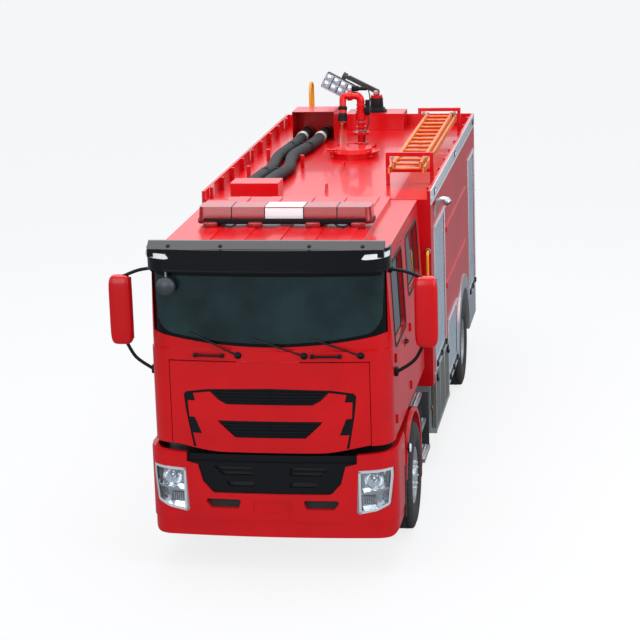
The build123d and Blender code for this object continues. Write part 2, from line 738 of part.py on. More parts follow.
rack_x = (body_half - 610, body_half - 80)
rack_bar = 40
rack_low = 3120
rack_top = 3340
rack_stations = (4200, 7460)
with BuildPart() as ladder_rack:
    for station in rack_stations:
        for x in (rack_x[0], rack_x[1] - rack_bar):
            block((x, x + rack_bar), (station, station + rack_bar), (deck_z, rack_top))
        for z in (rack_low, rack_top - rack_bar):
            block(rack_x, (station, station + rack_bar), (z, z + rack_bar))
save("ladder_rack", ladder_rack.part)

ladder_z = rack_low + rack_bar
ladder_ends = (3900, 7700)
outer_rails = (rack_x[0] + 60, rack_x[1] - 65)
rail_section = (28, 62)
rung_radius = 14
with BuildPart() as extension_ladder:
    # lower section, then the sliding section resting on its rungs
    for x0, x1, z, ends in (
        (outer_rails[0], outer_rails[1], ladder_z, ladder_ends),
        (outer_rails[0] + 40, outer_rails[1] - 40, ladder_z + 31 + rung_radius + gap, (3960, 7560)),
    ):
        for x in (x0, x1 - rail_section[0]):
            block((x, x + rail_section[0]), ends, (z, z + rail_section[1]))
        for station in range(ends[0] + 140, ends[1] - 60, 280):
            rod((x0 + 5, station, z + 31), (x1 - 5, station, z + 31), rung_radius)
save("extension_ladder", extension_ladder.part)

monitor_x = -40
monitor_station = 7020
riser_radius = 44
swivel_z = 3300
with BuildPart() as monitor_riser:
    with BuildSketch(level(deck_z)):
        with Locations((monitor_x, at(monitor_station))):
            Circle(riser_radius)
    extrude(amount=swivel_z - deck_z)
    for low, high, radius in ((deck_z, deck_z + 14, 90), (3090, 3118, 102), (3170, 3186, 62), (3270, swivel_z, 66)):
        with BuildSketch(level(low)):
            with Locations((monitor_x, at(monitor_station))):
                Circle(radius)
        extrude(amount=high - low)
save("monitor_riser", monitor_riser.part)

elbow_z = 3570
elbow_reach = 130
with BuildPart() as monitor_head:
    with BuildSketch(level(swivel_z + gap)):
        with Locations((monitor_x, at(monitor_station))):
            Circle(66)
    extrude(amount=60)
    bent_tube([(monitor_x, monitor_station, swivel_z + 30), (monitor_x, monitor_station, elbow_z),
               (monitor_x - elbow_reach, monitor_station, elbow_z)], 70, 48)
    rod((monitor_x - elbow_reach + 26, monitor_station, elbow_z), (monitor_x - elbow_reach, monitor_station, elbow_z), 62)
save("monitor_head", monitor_head.part)

barrel_x = monitor_x - elbow_reach - 70
with BuildPart() as monitor_barrel:
    start_x = monitor_x - elbow_reach - gap
    rod((start_x, monitor_station, elbow_z), (start_x - 26, monitor_station, elbow_z), 62)
    bent_tube([(start_x - 20, monitor_station, elbow_z), (barrel_x - 20, monitor_station, elbow_z),
               (barrel_x - 20, monitor_station - 45, elbow_z - 170)], 45, 42)
    rod((barrel_x - 20, monitor_station - 40, elbow_z - 150), (barrel_x - 20, monitor_station - 85, elbow_z - 320), 52)
save("monitor_barrel", monitor_barrel.part)

with BuildPart() as manhole_lid:
    with BuildSketch(level(neck_top + gap)):
        with Locations((0, at(manhole_station))):
            Circle(manhole_radius + 12)
    extrude(amount=16)
    with BuildSketch(level(neck_top + gap + 16)):
        with Locations((0, at(manhole_station))):
            Circle(manhole_radius - 70)
    extrude(amount=30, taper=20)
    rod((-manhole_radius - 40, manhole_station - 60, neck_top + 30), (160, manhole_station - 60, neck_top + 30), 12)
save("manhole_lid", manhole_lid.part)

arm_rise = radians(28)
arm_length = 400
arm_tip_x = -arm_length * cos(arm_rise)
arm_tip_z = arm_pivot_z + arm_length * sin(arm_rise)
with BuildPart() as light_arm:
    with BuildSketch(across(tower_station + arm_half)):
        with Locations((0, arm_pivot_z)):
            Circle(arm_eye)
        Polygon((20, arm_pivot_z - 32), (20, arm_pivot_z + 32), (arm_tip_x + 12, arm_tip_z + 26),
                (arm_tip_x - 12, arm_tip_z - 18), align=None)
        with Locations((arm_tip_x, arm_tip_z)):
            Circle(26)
    extrude(amount=2 * arm_half)
save("light_arm", light_arm.part)

lamp_offset = 52
with BuildPart() as lamp_head:
    along_arm = Vector(-cos(arm_rise), 0, sin(arm_rise))
    tip = Vector(arm_tip_x, at(tower_station), arm_tip_z)
    # swivel collar on the arm's end, bracket, and the lamp box in front of the arm
    with BuildSketch(Plane(origin=tip + along_arm * (26 + gap), z_dir=along_arm)):
        Circle(40)
    extrude(amount=60)
    lamp_plane = Plane(origin=tip + Vector(0, -lamp_offset, 0), x_dir=-along_arm, z_dir=(0, -1, 0))
    with BuildSketch(lamp_plane):
        with Locations((-60, -140)):
            RectangleRounded(420, 210, 18)
    extrude(amount=90)
    with BuildSketch(lamp_plane):
        with Locations((-56, -60)):
            Rectangle(50, 120)
    extrude(amount=-lamp_offset)
save("lamp_head", lamp_head.part)

with BuildPart() as left_flap:
    block((body_half - flap_thick, body_half), flap_stations, (flap_low, flap_high))
with BuildPart() as right_flap:
    mirror(left_flap.part, about=Plane.YZ)
save("left_step_flap", left_flap.part)
save("right_step_flap", right_flap.part)


# ---------------------------------------------------------------- cab
def side_section(outer, inner):
    """Section of the cab's left side between two offsets in from the outer face."""
    return [
        (cab_half - outer, cab_floor_z), (cab_half - outer, belt_z), (eave_half - outer, eave_z),
        (eave_half - inner, eave_z), (cab_half - inner, belt_z), (cab_half - inner, cab_floor_z),
    ]


def cab_envelope():
    """Closed outline of the cab's cross-section."""
    half = [(cab_half, cab_floor_z), (cab_half, belt_z), (eave_half, eave_z)]
    Polygon(*half, *[(-x, z) for x, z in reversed(half)], align=None)


# doors: name, front station, rear station, window front, window rear, window low, window high
doors = (
    ("front_door", 420, 1395, 490, 1325, 2120, 2900),
    ("crew_door", 1605, 2715, 1680, 2640, 2330, 2900),
)
door_low = cab_floor_z + 10
door_high = 2955

with BuildPart() as cab_sides:
    with BuildSketch(across(cab_rear - rear_wall)):
        Polygon(*side_section(0, cab_wall), align=None)
    extrude(amount=cab_rear - rear_wall - pillar_back)
    for name, front, rear, *window in doors:
        block((900, 1300), (front - seam, rear + seam), (door_low - seam, door_high + seam), mode=Mode.SUBTRACT)
    mirror(about=Plane.YZ)
save("cab_sides", cab_sides.part)

glass_thick = 8
glass_inset = 26
for side, sign in (("left", 1), ("right", -1)):
    for name, front, rear, window_front, window_rear, window_low, window_high in doors:
        with BuildPart() as door:
            with BuildSketch(across(rear)):
                Polygon(*[(sign * x, z) for x, z in side_section(0, cab_wall)], align=None)
            extrude(amount=rear - front)
            with BuildSketch(side_plane(-1400)):
                with Locations((at((front + rear) / 2), (door_low + door_high) / 2)):
                    RectangleRounded(rear - front, door_high - door_low, 40)
            extrude(amount=2800, mode=Mode.INTERSECT)
            with BuildSketch(side_plane(-1400)):
                with Locations((at((window_front + window_rear) / 2), (window_low + window_high) / 2)):
                    RectangleRounded(window_rear - window_front, window_high - window_low, 60)
            extrude(amount=2800, mode=Mode.SUBTRACT)
        save(f"{side}_{name}", door.part)
        with BuildPart() as pane:
            with BuildSketch(across(window_rear + 1)):
                Polygon(*[(sign * x, z) for x, z in side_section(glass_inset, glass_inset + glass_thick)], align=None)
            extrude(amount=window_rear - window_front + 2)
            with BuildSketch(side_plane(-1400)):
                with Locations((at((window_front + window_rear) / 2), (window_low + window_high) / 2)):
                    RectangleRounded(window_rear - window_front - 2 * gap, window_high - window_low - 2 * gap, 60)
            extrude(amount=2800, mode=Mode.INTERSECT)
        save(f"{side}_{name}_glass", pane.part)

screen_low = 2200
screen_high = 2930
screen_half = 1120
cowl_low = 2075
cowl_high = 2170
lid_half = 955
lid_seam = 7
lid_low = 1178
lid_high = 2065
lid_front = 30
lid_thick = 38
hinge_half = 300
hinge_station = lid_front + 5.5
hinge_z = (lid_high + cowl_low) / 2
hinge_radius = (cowl_low - lid_high) / 2 - gap

with BuildPart() as cab_front:
    # corner panels and cowl stand level with the lid; the wall behind the lid is set back
    with BuildSketch(level(cab_floor_z)):
        lid_plan(0)
    extrude(amount=cowl_high - cab_floor_z)
    block((-lid_half - lid_seam, lid_half + lid_seam), (-50, pillar_back - 5), (cab_floor_z - 1, cowl_low),
          mode=Mode.SUBTRACT)
    with BuildSketch(level(cab_floor_z)):
        cab_plan(0)
    extrude(amount=eave_z - cab_floor_z)
    with BuildSketch(level(cab_floor_z)):
        cab_plan(cab_wall)
        with Locations((0, at(pillar_back))):
            Rectangle(2 * (cab_half - cab_wall), 20)
    extrude(amount=eave_z - cab_floor_z, mode=Mode.SUBTRACT)
    with BuildSketch(across(pillar_back)):
        cab_envelope()
    extrude(amount=500, mode=Mode.INTERSECT)
    # lid hinge: barrel in the seam under the cowl
    rod((-hinge_half, hinge_station, hinge_z), (hinge_half, hinge_station, hinge_z), hinge_radius)
    block((-hinge_half, hinge_half), (hinge_station - 2.5, hinge_station + 2.5), (hinge_z, cowl_low + 1))
    with BuildSketch(across(330)):
        with BuildLine():
            low = ThreePointArc((-screen_half, screen_low + 130), (0, screen_low), (screen_half, screen_low + 130))
            Polyline(low @ 1, (screen_half, screen_high), (-screen_half, screen_high), low @ 0)
        make_face()
    extrude(amount=500, mode=Mode.SUBTRACT)
save("cab_front", cab_front.part)

with BuildPart() as windscreen:
    with BuildSketch(level(screen_low)):
        cab_plan(12)
    extrude(amount=screen_high - screen_low)
    with BuildSketch(level(screen_low)):
        cab_plan(22)
        with Locations((0, at(pillar_back))):
            Rectangle(2 * (cab_half - 22), 20)
    extrude(amount=screen_high - screen_low, mode=Mode.SUBTRACT)
    with BuildSketch(across(330)):
        with BuildLine():
            low = ThreePointArc((-screen_half, screen_low + 130), (0, screen_low), (screen_half, screen_low + 130))
            Polyline(low @ 1, (screen_half, screen_high), (-screen_half, screen_high), low @ 0)
        make_face()
        offset(amount=-gap)
    extrude(amount=500, mode=Mode.INTERSECT)
save("windscreen", windscreen.part)

with BuildPart() as cab_back:
    with BuildSketch(across(cab_rear)):
        cab_envelope()
    extrude(amount=rear_wall)
save("cab_rear", cab_back.part)

tunnel = (450, 800, 2300, 1440)
arm_x = (200, 260)
with BuildPart() as cab_floor:
    floor_front = 300
    floor_back = cab_rear - rear_wall
    with BuildSketch(level(cab_floor_z)):
        with Locations((0, at((floor_front + floor_back) / 2))):
            Rectangle(2 * (cab_half - cab_wall - gap), floor_back - floor_front - 2 * gap)
        fillet(vertices().group_by(Axis.Y)[0], radius=nose_corner - 40)
    extrude(amount=floor_thick)
    block((-tunnel[0], tunnel[0]), tunnel[1:3], (cab_floor_z, tunnel[3]))
    block((-tunnel[0] + floor_thick, tunnel[0] - floor_thick), (tunnel[1] + floor_thick, tunnel[2] - floor_thick),
          (cab_floor_z - 1, tunnel[3] - floor_thick), mode=Mode.SUBTRACT)
    with BuildSketch(side_plane(arm_x[0])):
        with Locations((at(tilt_station), tilt_z)):
            Circle(tilt_tube + 22)
        Polygon((at(tilt_station - 40), tilt_z), (at(tilt_station + 40), tilt_z),
                (at(tilt_station + 260), cab_floor_z + 1), (at(tilt_station + 140), cab_floor_z + 1), align=None)
        with Locations((at(tilt_station), tilt_z)):
            Circle(tilt_tube + gap, mode=Mode.SUBTRACT)
    extrude(amount=arm_x[1] - arm_x[0])
    mirror(about=Plane.YZ)
save("cab_floor", cab_floor.part)

roof_skin = 50
roof_half = 850
roof_ribs = (-680, -340, 0, 340, 680)
rib_height = 12
with BuildPart() as cab_roof:
    with BuildSketch(level(eave_z)):
        nose(0, cab_nose, eave_half, nose_bulge, nose_corner, cab_rear)
    extrude(amount=roof_skin)
    block((-roof_half, roof_half), (280, 2780), (eave_z + roof_skin, rail_cap_z))
    for x in roof_ribs:
        block((x - 60, x + 60), (330, 2730), (rail_cap_z, rail_cap_z + rib_height))
save("cab_roof", cab_roof.part)

visor_front = 12
visor_half = 1158
visor_corner = 200
visor_back = 330
visor_low = 2930
visor_top = 3145
visor_lip = 3210
visor_wall = 28
with BuildPart() as sun_visor:
    def visor_plan(inset):
        nose(inset, visor_front, visor_half, nose_bulge, visor_corner, visor_back)

    add(shell(visor_plan, (visor_low, visor_top), (0, visor_wall), visor_back))
    # crown behind the face, rounded off at both ends
    with BuildSketch(side_plane(-visor_half + 38)) as crown:
        Polygon((at(70), eave_z + roof_skin + gap), (at(70), visor_top), (at(150), visor_lip),
                (at(190), visor_lip), (at(190), eave_z + roof_skin + gap), align=None)
    extrude(crown.sketch, amount=2 * visor_half - 76)
save("sun_visor", sun_visor.part)

bar_half = 870
bar_station = 1320
bar_low = 3160
with BuildPart() as light_bar:
    for x in roof_ribs:
        if x:
            block((x - 50, x + 50), (bar_station - 50, bar_station + 50), (rail_cap_z + rib_height, bar_low + 5))
    with BuildSketch(level(bar_low)) as base:
        with Locations((0, at(bar_station))):
            RectangleRounded(2 * bar_half, 300, 70)
    extrude(base.sketch, amount=34)
    # lenses stand on the base; grooves part them
    with BuildSketch(level(bar_low + 34)) as lens:
        with Locations((0, at(bar_station))):
            RectangleRounded(2 * bar_half - 16, 284, 62)
    extrude(lens.sketch, amount=131, taper=5)
    for x in (190, 520):
        both_sides((x, x + 8), (bar_station - 160, bar_station - 128), (bar_low + 34, bar_low + 170), mode=Mode.SUBTRACT)
        both_sides((x, x + 8), (bar_station + 128, bar_station + 160), (bar_low + 34, bar_low + 170), mode=Mode.SUBTRACT)
save("light_bar", light_bar.part)

mirror_x = 1470
mirror_station = 365
mirror_stem = cab_half - (cab_half - eave_half) * (2900 - belt_z) / (eave_z - belt_z)
dome_centre = (-950, 34, 2790)
dome_radius = 92
dome_stem = 76
with BuildPart() as mirrors:
    with BuildSketch(level(2150)):
        with Locations((mirror_x, at(mirror_station))):
            RectangleRounded(220, 140, 50)
    extrude(amount=680)
    fillet(edges().group_by(Axis.Z)[-1] + edges().group_by(Axis.Z)[0], radius=42)
    for x, z in ((mirror_stem + 1.2, 2900), (cab_half, 1900)):
        rod((x + gap, mirror_station, z), (x + 18, mirror_station, z), 24)
    rod((mirror_stem + 10, mirror_station, 2900), (mirror_x - 30, mirror_station, 2815), 16)
    rod((cab_half + 12, mirror_station, 1900), (1350, mirror_station, 2020), 16)
    rod((1350, mirror_station, 2020), (mirror_x - 30, mirror_station, 2175), 16)
    mirror(about=Plane.YZ)
    # round close-view mirror on a stem under the visor, on the right only
    rod((dome_centre[0], dome_stem, visor_low - gap), (dome_centre[0], dome_stem, dome_centre[2] - 5), 10)
    with BuildSketch(side_plane(dome_centre[0])) as dome:
        with BuildLine() as skin:
            y = at(dome_centre[1])
            z = dome_centre[2]
            Polyline((y + 80, z), (y + 80, z + 18), (y + 50, z + 30), (y + 12, z + dome_radius),
                     (y, z + dome_radius), (y - 16, z + 70), (y - 25, z + 30), (y - 25, z), close=True)
        make_face(skin.edges())
    revolve(dome.sketch, axis=Axis((dome_centre[0], at(0), dome_centre[2]), (0, 1, 0)))
save("mirrors", mirrors.part)

seat_floor = cab_floor_z + floor_thick
with BuildPart() as seats:
    for x0, x1, front, back in ((500, 1010, 900, 1420), (-1010, -500, 900, 1420), (-1000, 1000, 2310, 2760)):
        block((x0 + 60, x1 - 60), (front + 40, back - 40), (seat_floor, 1560))
        block((x0, x1), (front, back), (1560, 1720))
        block((x0, x1), (back - 110, back), (1720, 2420))
save("seats", seats.part)

with BuildPart() as dashboard:
    with BuildSketch(level(1640)):
        cab_plan(cab_wall + gap, back=560)
        with Locations((0, at(480))):
            Rectangle(2400, 200, mode=Mode.SUBTRACT)
    extrude(amount=510)
    # steering column and wheel
    rod((620, 370, 1900), (620, 640, 2080), 30)
    with BuildSketch(Plane(origin=(620, at(640), 2080), x_dir=(1, 0, 0), z_dir=(0, 270, 180))):
        Circle(235)
        Circle(205, mode=Mode.SUBTRACT)
        Rectangle(420, 40)
        Circle(60)
    extrude(amount=26)
save("dashboard", dashboard.part)

# black field of the lid: side bands with two notches each, joined over the upper slot
black_field = [
    (0, 1812), (592, 1797), (800, 1768), (828, 1741), (816, 1617), (802, 1518), (750, 1224),
    (724, 1222), (752, 1358), (663, 1356), (727, 1516), (781, 1519), (791, 1680), (718, 1678),
    (735, 1752), (570, 1772), (488, 1691), (413, 1650), (0, 1650),
]
lower_field = [(0, 1490), (509, 1490), (337, 1324), (0, 1324)]
# louvred openings in the fields: (half width at the top, half width at the bottom, low, high)
louvres = ((552, 412, 1660, 1798), (492, 348, 1333, 1481))
field_depth = 14
slot_depth = 30
lip = 4
louvre_rows = 4


def lid_wall(insets):
    """Wall between two insets of the lid's plan."""
    return shell(lid_plan, (lid_low - 20, lid_high), insets, pillar_back)


def louvre_outline(top, bottom, low, high):
    return [(0, high), (top, high - 14), (bottom, low), (0, low)]


with BuildPart() as front_lid:
    add(lid_wall((0, lid_thick)))
    with BuildSketch(across(pillar_back)) as outline:
        Polygon((-lid_half, lid_low + 80), (-560, lid_low), (560, lid_low), (lid_half, lid_low + 80),
                (lid_half, lid_high), (-lid_half, lid_high), align=None)
        fillet(outline.vertices().group_by(Axis.Y)[0], radius=1400)
    extrude(outline.sketch, amount=pillar_back + 100, mode=Mode.INTERSECT)
    with BuildPart(mode=Mode.SUBTRACT):
        add(lid_wall((-2, field_depth)))
        extrude(front_view(pillar_back, black_field, lower_field), amount=500, mode=Mode.INTERSECT)
    with BuildPart(mode=Mode.SUBTRACT):
        add(lid_wall((0, slot_depth)))
        extrude(front_view(pillar_back, *[louvre_outline(*row) for row in louvres]), amount=500,
                mode=Mode.INTERSECT)
save("front_lid", front_lid.part)

with BuildPart() as front_grille:
    add(lid_wall((field_depth - 8, field_depth - gap)))
    extrude(front_view(pillar_back, black_field, lower_field, inset=gap), amount=500, mode=Mode.INTERSECT)
    openings = [louvre_outline(*row) for row in louvres]
    extrude(front_view(pillar_back, *openings, inset=lip), amount=500, mode=Mode.SUBTRACT)
    with BuildPart():
        add(lid_wall((slot_depth - 8, slot_depth - gap)))
        for top, bottom, low, high in louvres:
            pitch = (high - 14 - low) / louvre_rows
            for row in range(louvre_rows):
                z = low + pitch * (row + 0.5)
                add(shell(lid_plan, (z - 7, z + 7), (field_depth - 6, slot_depth - 4), pillar_back))
        extrude(front_view(pillar_back, *openings, inset=gap), amount=500, mode=Mode.INTERSECT)
save("front_grille", front_grille.part)
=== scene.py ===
"""Dresses the crew-cab water-tender fire truck: paint, tyres, glass, lamps, trim and deck gear.

The truck stands nose to -Y. Lengths in the tables are millimetres: x to the vehicle's left,
station rearwards from the bumper's front face, z up from the ground.
"""
from math import ceil, cos, pi, radians, sin, sqrt

import bmesh
import bpy
from bpy.props import FloatProperty, FloatVectorProperty, IntProperty
from mathutils import Matrix, Vector


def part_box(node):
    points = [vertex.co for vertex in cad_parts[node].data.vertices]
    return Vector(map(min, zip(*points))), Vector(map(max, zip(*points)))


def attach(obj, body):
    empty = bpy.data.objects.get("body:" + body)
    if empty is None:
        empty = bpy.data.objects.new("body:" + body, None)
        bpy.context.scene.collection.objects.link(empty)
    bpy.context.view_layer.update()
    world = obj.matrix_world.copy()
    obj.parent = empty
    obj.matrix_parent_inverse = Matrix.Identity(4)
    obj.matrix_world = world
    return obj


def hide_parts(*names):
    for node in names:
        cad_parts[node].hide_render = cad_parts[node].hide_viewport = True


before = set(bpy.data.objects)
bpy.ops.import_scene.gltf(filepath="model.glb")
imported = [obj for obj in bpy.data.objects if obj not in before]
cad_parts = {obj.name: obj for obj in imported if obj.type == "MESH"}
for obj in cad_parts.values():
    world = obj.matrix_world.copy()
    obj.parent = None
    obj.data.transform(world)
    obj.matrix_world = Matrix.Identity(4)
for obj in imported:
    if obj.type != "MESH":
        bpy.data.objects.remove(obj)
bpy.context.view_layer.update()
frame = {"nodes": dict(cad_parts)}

bl_info = {
    "name": "Water Tender Fire Truck",
    "version": (1, 0, 0),
    "blender": (4, 5, 0),
    "location": "View3D > Sidebar > Fire Truck",
    "description": "Paints and details a crew-cab water-tender fire truck around its CAD frame",
    "category": "Object",
}

FRONT_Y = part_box("front_bumper")[0].y
LEFT, RIGHT = 1, -1
SIDES = (("left", LEFT), ("right", RIGHT))


def at(x, station, z):
    """Point in the frame's metres from millimetres of x, station and z."""
    return Vector((x / 1000, FRONT_Y + station / 1000, z / 1000))


# ------------------------------------------------------------------ colours and nodes
def linear(colour):
    """Scene-linear RGBA of an sRGB hex colour."""
    values = [int(colour[i:i + 2], 16) / 255 for i in (1, 3, 5)]
    return tuple(v / 12.92 if v <= 0.04045 else ((v + 0.055) / 1.055) ** 2.4 for v in values) + (1.0,)


def add(tree, kind, links=None, **settings):
    """Add a shader node, set its sockets and properties, and link the named inputs."""
    node = tree.nodes.new(kind)
    for name, value in settings.items():
        socket = node.inputs.get(name.replace("_", " "))
        if socket is not None and not hasattr(node, name):
            socket.default_value = value
        else:
            setattr(node, name, value)
    for name, output in (links or {}).items():
        tree.links.new(output, node.inputs[name])
    return node


def surface(name, colour, **shader):
    """Material with one Principled shader; keyword values go to its own sockets."""
    made = bpy.data.materials.new(name)
    made.use_nodes = True
    made.diffuse_color = linear(colour)
    bsdf = made.node_tree.nodes["Principled BSDF"]
    bsdf.inputs["Base Color"].default_value = linear(colour)
    for socket, value in shader.items():
        bsdf.inputs[socket.replace("_", " ")].default_value = value
    return made


def grain(made, size_mm, depth_mm, kind="ShaderNodeTexNoise", strength=0.6, settings=None):
    """Bump from a texture whose features are size_mm across."""
    tree = made.node_tree
    where = add(tree, "ShaderNodeTexCoord")
    pattern = add(tree, kind, {"Vector": where.outputs["Object"]}, **(settings or {}))
    pattern.inputs["Scale"].default_value = 1000 / size_mm
    height = pattern.outputs["Fac"] if "Fac" in pattern.outputs else pattern.outputs["Distance"]
    bump = add(tree, "ShaderNodeBump", {"Height": height})
    bump.inputs["Strength"].default_value = strength
    bump.inputs["Distance"].default_value = depth_mm / 1000
    tree.links.new(bump.outputs["Normal"], tree.nodes["Principled BSDF"].inputs["Normal"])


def mottle(made, colour, other, size_mm):
    """Base colour that wanders between two shades over patches size_mm across."""
    tree = made.node_tree
    where = add(tree, "ShaderNodeTexCoord")
    noise = add(tree, "ShaderNodeTexNoise", {"Vector": where.outputs["Object"]})
    noise.inputs["Scale"].default_value = 1000 / size_mm
    noise.inputs["Detail"].default_value = 4
    ramp = add(tree, "ShaderNodeValToRGB", {"Fac": noise.outputs["Fac"]})
    ramp.color_ramp.elements[0].position = 0.35
    ramp.color_ramp.elements[0].color = linear(colour)
    ramp.color_ramp.elements[1].position = 0.65
    ramp.color_ramp.elements[1].color = linear(other)
    tree.links.new(ramp.outputs["Color"], tree.nodes["Principled BSDF"].inputs["Base Color"])


# ------------------------------------------------------------------ finishes
# a finish: material name, base colour, Principled values, then its mottle (two colours and the patch size in mm)
# and its grain (size in mm, depth in mm, texture, bump strength, texture settings)
FINISHES = {
    # two-pack coach enamel, sprayed: deep red under a clear gloss with a faint orange peel
    "red_enamel": ("red_enamel", "#C60A12",
                   dict(Roughness=0.3, Specular_IOR_Level=0.22, Coat_Weight=0.22, Coat_Roughness=0.05),
                   ("#CB0A12", "#BE0810", 700), (9, 0.05)),
    # acrylic-capped visor shell, moulded: near black, glossy, with soft highlights
    "black_gelcoat": ("black_gelcoat", "#090A0F",
                      dict(Roughness=0.2, Specular_IOR_Level=0.3, Coat_Weight=0.12, Coat_Roughness=0.05),
                      None, (14, 0.03)),
    # polypropylene trim, injection moulded: fine leather grain and a dull sheen
    "moulded_plastic": ("moulded_plastic", "#0D0E12", dict(Roughness=0.45, Specular_IOR_Level=0.16),
                        None, (2.5, 0.12, "ShaderNodeTexVoronoi")),
    # satin chassis black over steel, brushed on, with a little road dust
    "chassis_paint": ("chassis_paint", "#1B1C1E", dict(Roughness=0.6), ("#161719", "#2A2927", 160), (6, 0.15)),
    # grey-painted cast iron: coarse sand-mould skin
    "cast_grey": ("cast_grey", "#3A3C3E", dict(Roughness=0.65, Metallic=0.2), None, (4, 0.3)),
    # anodised aluminium slats, extruded: pale blue-grey, even and dull
    "shutter_aluminium": ("shutter_aluminium", "#A9BAC4", dict(Roughness=0.38, Metallic=0.35),
                          ("#A6B7C2", "#AFBFC9", 300), (3, 0.03)),
    # natural aluminium sheet, brushed: bright grey with long fine scratches
    "locker_aluminium": ("locker_aluminium", "#B9BDC0", dict(Roughness=0.35, Metallic=0.8), None, (5, 0.04)),
    # grey-olive powder coat on the folding step panel: matt with a fine pimple
    "flap_vinyl": ("flap_powder_coat", "#55584F", dict(Roughness=0.55), ("#50534B", "#5B5E55", 240), (2, 0.1)),
    # silver-white reflective band and drip rails: bright, faintly metallic
    "band_silver": ("silver_band", "#C9CFD4", dict(Roughness=0.3, Metallic=0.25), None, (4, 0.03)),
    # green-tinted laminated glass, darkened with painted shade that stands for the dark cab behind it
    "screen_glass": ("tinted_glass_with_painted_shade", "#20383A", dict(Roughness=0.03, Transmission_Weight=0.55, IOR=1.52),
                     ("#1B3033", "#2B4A4C", 420), None),
    # clear polycarbonate: thin lens over the lamps
    "clear_lens": ("clear_polycarbonate", "#F4F8FA", dict(Roughness=0.04, Transmission_Weight=0.95, IOR=1.58),
                   None, None),
    # vacuum-aluminised reflector plastic: mirror bright, slightly wavy
    "lamp_chrome": ("aluminised_plastic", "#DDE0E4", dict(Roughness=0.12, Metallic=1.0), None, (12, 0.2)),
    # red polycarbonate beacon lens with vertical prisms: lit through, deep at the edges
    "red_lens": ("red_polycarbonate", "#A30A14", dict(Roughness=0.1, Transmission_Weight=0.12, IOR=1.58),
                 None, (16, 0.25, "ShaderNodeTexWave")),
    # amber acrylic marker lens
    "orange_lens": ("amber_acrylic", "#E07A10", dict(Roughness=0.18, Transmission_Weight=0.2, IOR=1.49), None,
                    None),
    # milky acrylic over white lamps
    "white_lens": ("white_acrylic", "#E6E9EC", dict(Roughness=0.25), None, (7, 0.2)),
    # vulcanised rubber: dark grey with dusty patches on the shoulders
    "tyre_rubber": ("tyre_rubber", "#1A1A1B", dict(Roughness=0.8), ("#161617", "#242322", 90), (3, 0.2)),
    # wire-wound suction hose, wrapped rubber: matt black
    "hose_rubber": ("hose_rubber", "#17181A", dict(Roughness=0.62), None, (5, 0.2)),
    # silver-painted steel disc, stoved: bright with fine dust
    "wheel_steel": ("wheel_silver", "#C6C9CC", dict(Roughness=0.35, Metallic=0.6),
                    ("#CBCED1", "#B4B7BA", 120), (4, 0.05)),
    # orange glass-fibre ladder stock, pultruded: satin with long strands
    "ladder_orange": ("orange_fibreglass", "#D9702C", dict(Roughness=0.45), ("#D46A28", "#E08040", 80), (3, 0.1)),
    # yellow powder-coated steel tube
    "rail_yellow": ("yellow_powder_coat", "#E39A12", dict(Roughness=0.35), None, (3, 0.05)),
    # woven grey seat cloth: 3 mm ribs, drawn coarser than real so that they show
    "seat_cloth": ("seat_cloth", "#34373C", dict(Roughness=0.9, Sheen_Weight=0.3),
                   None, (3, 0.4, "ShaderNodeTexWave")),
    # silvered mirror glass
    "mirror_glass": ("mirror_glass", "#C8D0D4", dict(Roughness=0.02, Metallic=1.0), None, None),
    # zinc-plated steel fittings: pale grey with a yellowish cast
    "zinc": ("zinc_plate", "#A9A9A4", dict(Roughness=0.4, Metallic=0.9), None, (4, 0.05)),
    # smoked acrylic over the turn lamps: grey-brown and glossy
    "smoke_lens": ("smoked_acrylic", "#6A5A50", dict(Roughness=0.12, Metallic=0.4), None, (9, 0.1)),
    # painted shade: near-black matt sheet in the recesses behind the lower lamps
    "lamp_shadow": ("black_painted_shade", "#0E0F11", dict(Roughness=0.7), None, (3, 0.1)),
    # black ceramic enamel fired on the screen's edge: dense black under glass gloss
    "ceramic_frit": ("ceramic_frit", "#050608", dict(Roughness=0.1, Specular_IOR_Level=0.3), None, (12, 0.02)),
    # extruded weather-strip rubber: matt black with a faint bloom
    "seal_rubber": ("seal_rubber", "#121314", dict(Roughness=0.68), None, (2.5, 0.08)),
    # grey glass-filled nylon, moulded: fine grain, satin
    "grey_moulding": ("grey_nylon", "#343940", dict(Roughness=0.4), None, (2.5, 0.1, "ShaderNodeTexVoronoi")),
    # white translucent lens with horizontal prisms: 9 mm steps, drawn coarser than real so that they show
    "louvred_white": ("prismatic_white_acrylic", "#DDE3E6", dict(Roughness=0.2), None,
                      (18 * 6.28, 4, "ShaderNodeTexWave", 0.9, {"bands_direction": "Z", "wave_profile": "SAW"})),
    # silver-painted moulding round the lamps: bright satin with a fine metallic fleck
    "lamp_silver": ("silver_painted_moulding", "#D6D8DC", dict(Roughness=0.28, Metallic=0.35), None, (6, 0.03)),
    # toughened glass over lamp reflectors: pale blue-grey with a soft ripple
    "flood_face": ("toughened_lamp_glass", "#A9C4D6", dict(Roughness=0.1, Metallic=0.5),
                   ("#9DB9CC", "#B8D0DE", 30), (10, 0.15)),
}


MADE = {}                           # finishes made so far


def finish(name):
    """The shared material of a finish, made when it is first asked for."""
    if name not in MADE:
        label, colour, shader, patches, relief = FINISHES[name]
        made = surface(label, colour, **shader)
        if patches:
            mottle(made, *patches)
        if relief:
            grain(made, *relief)
        MADE[name] = made
    return MADE[name]


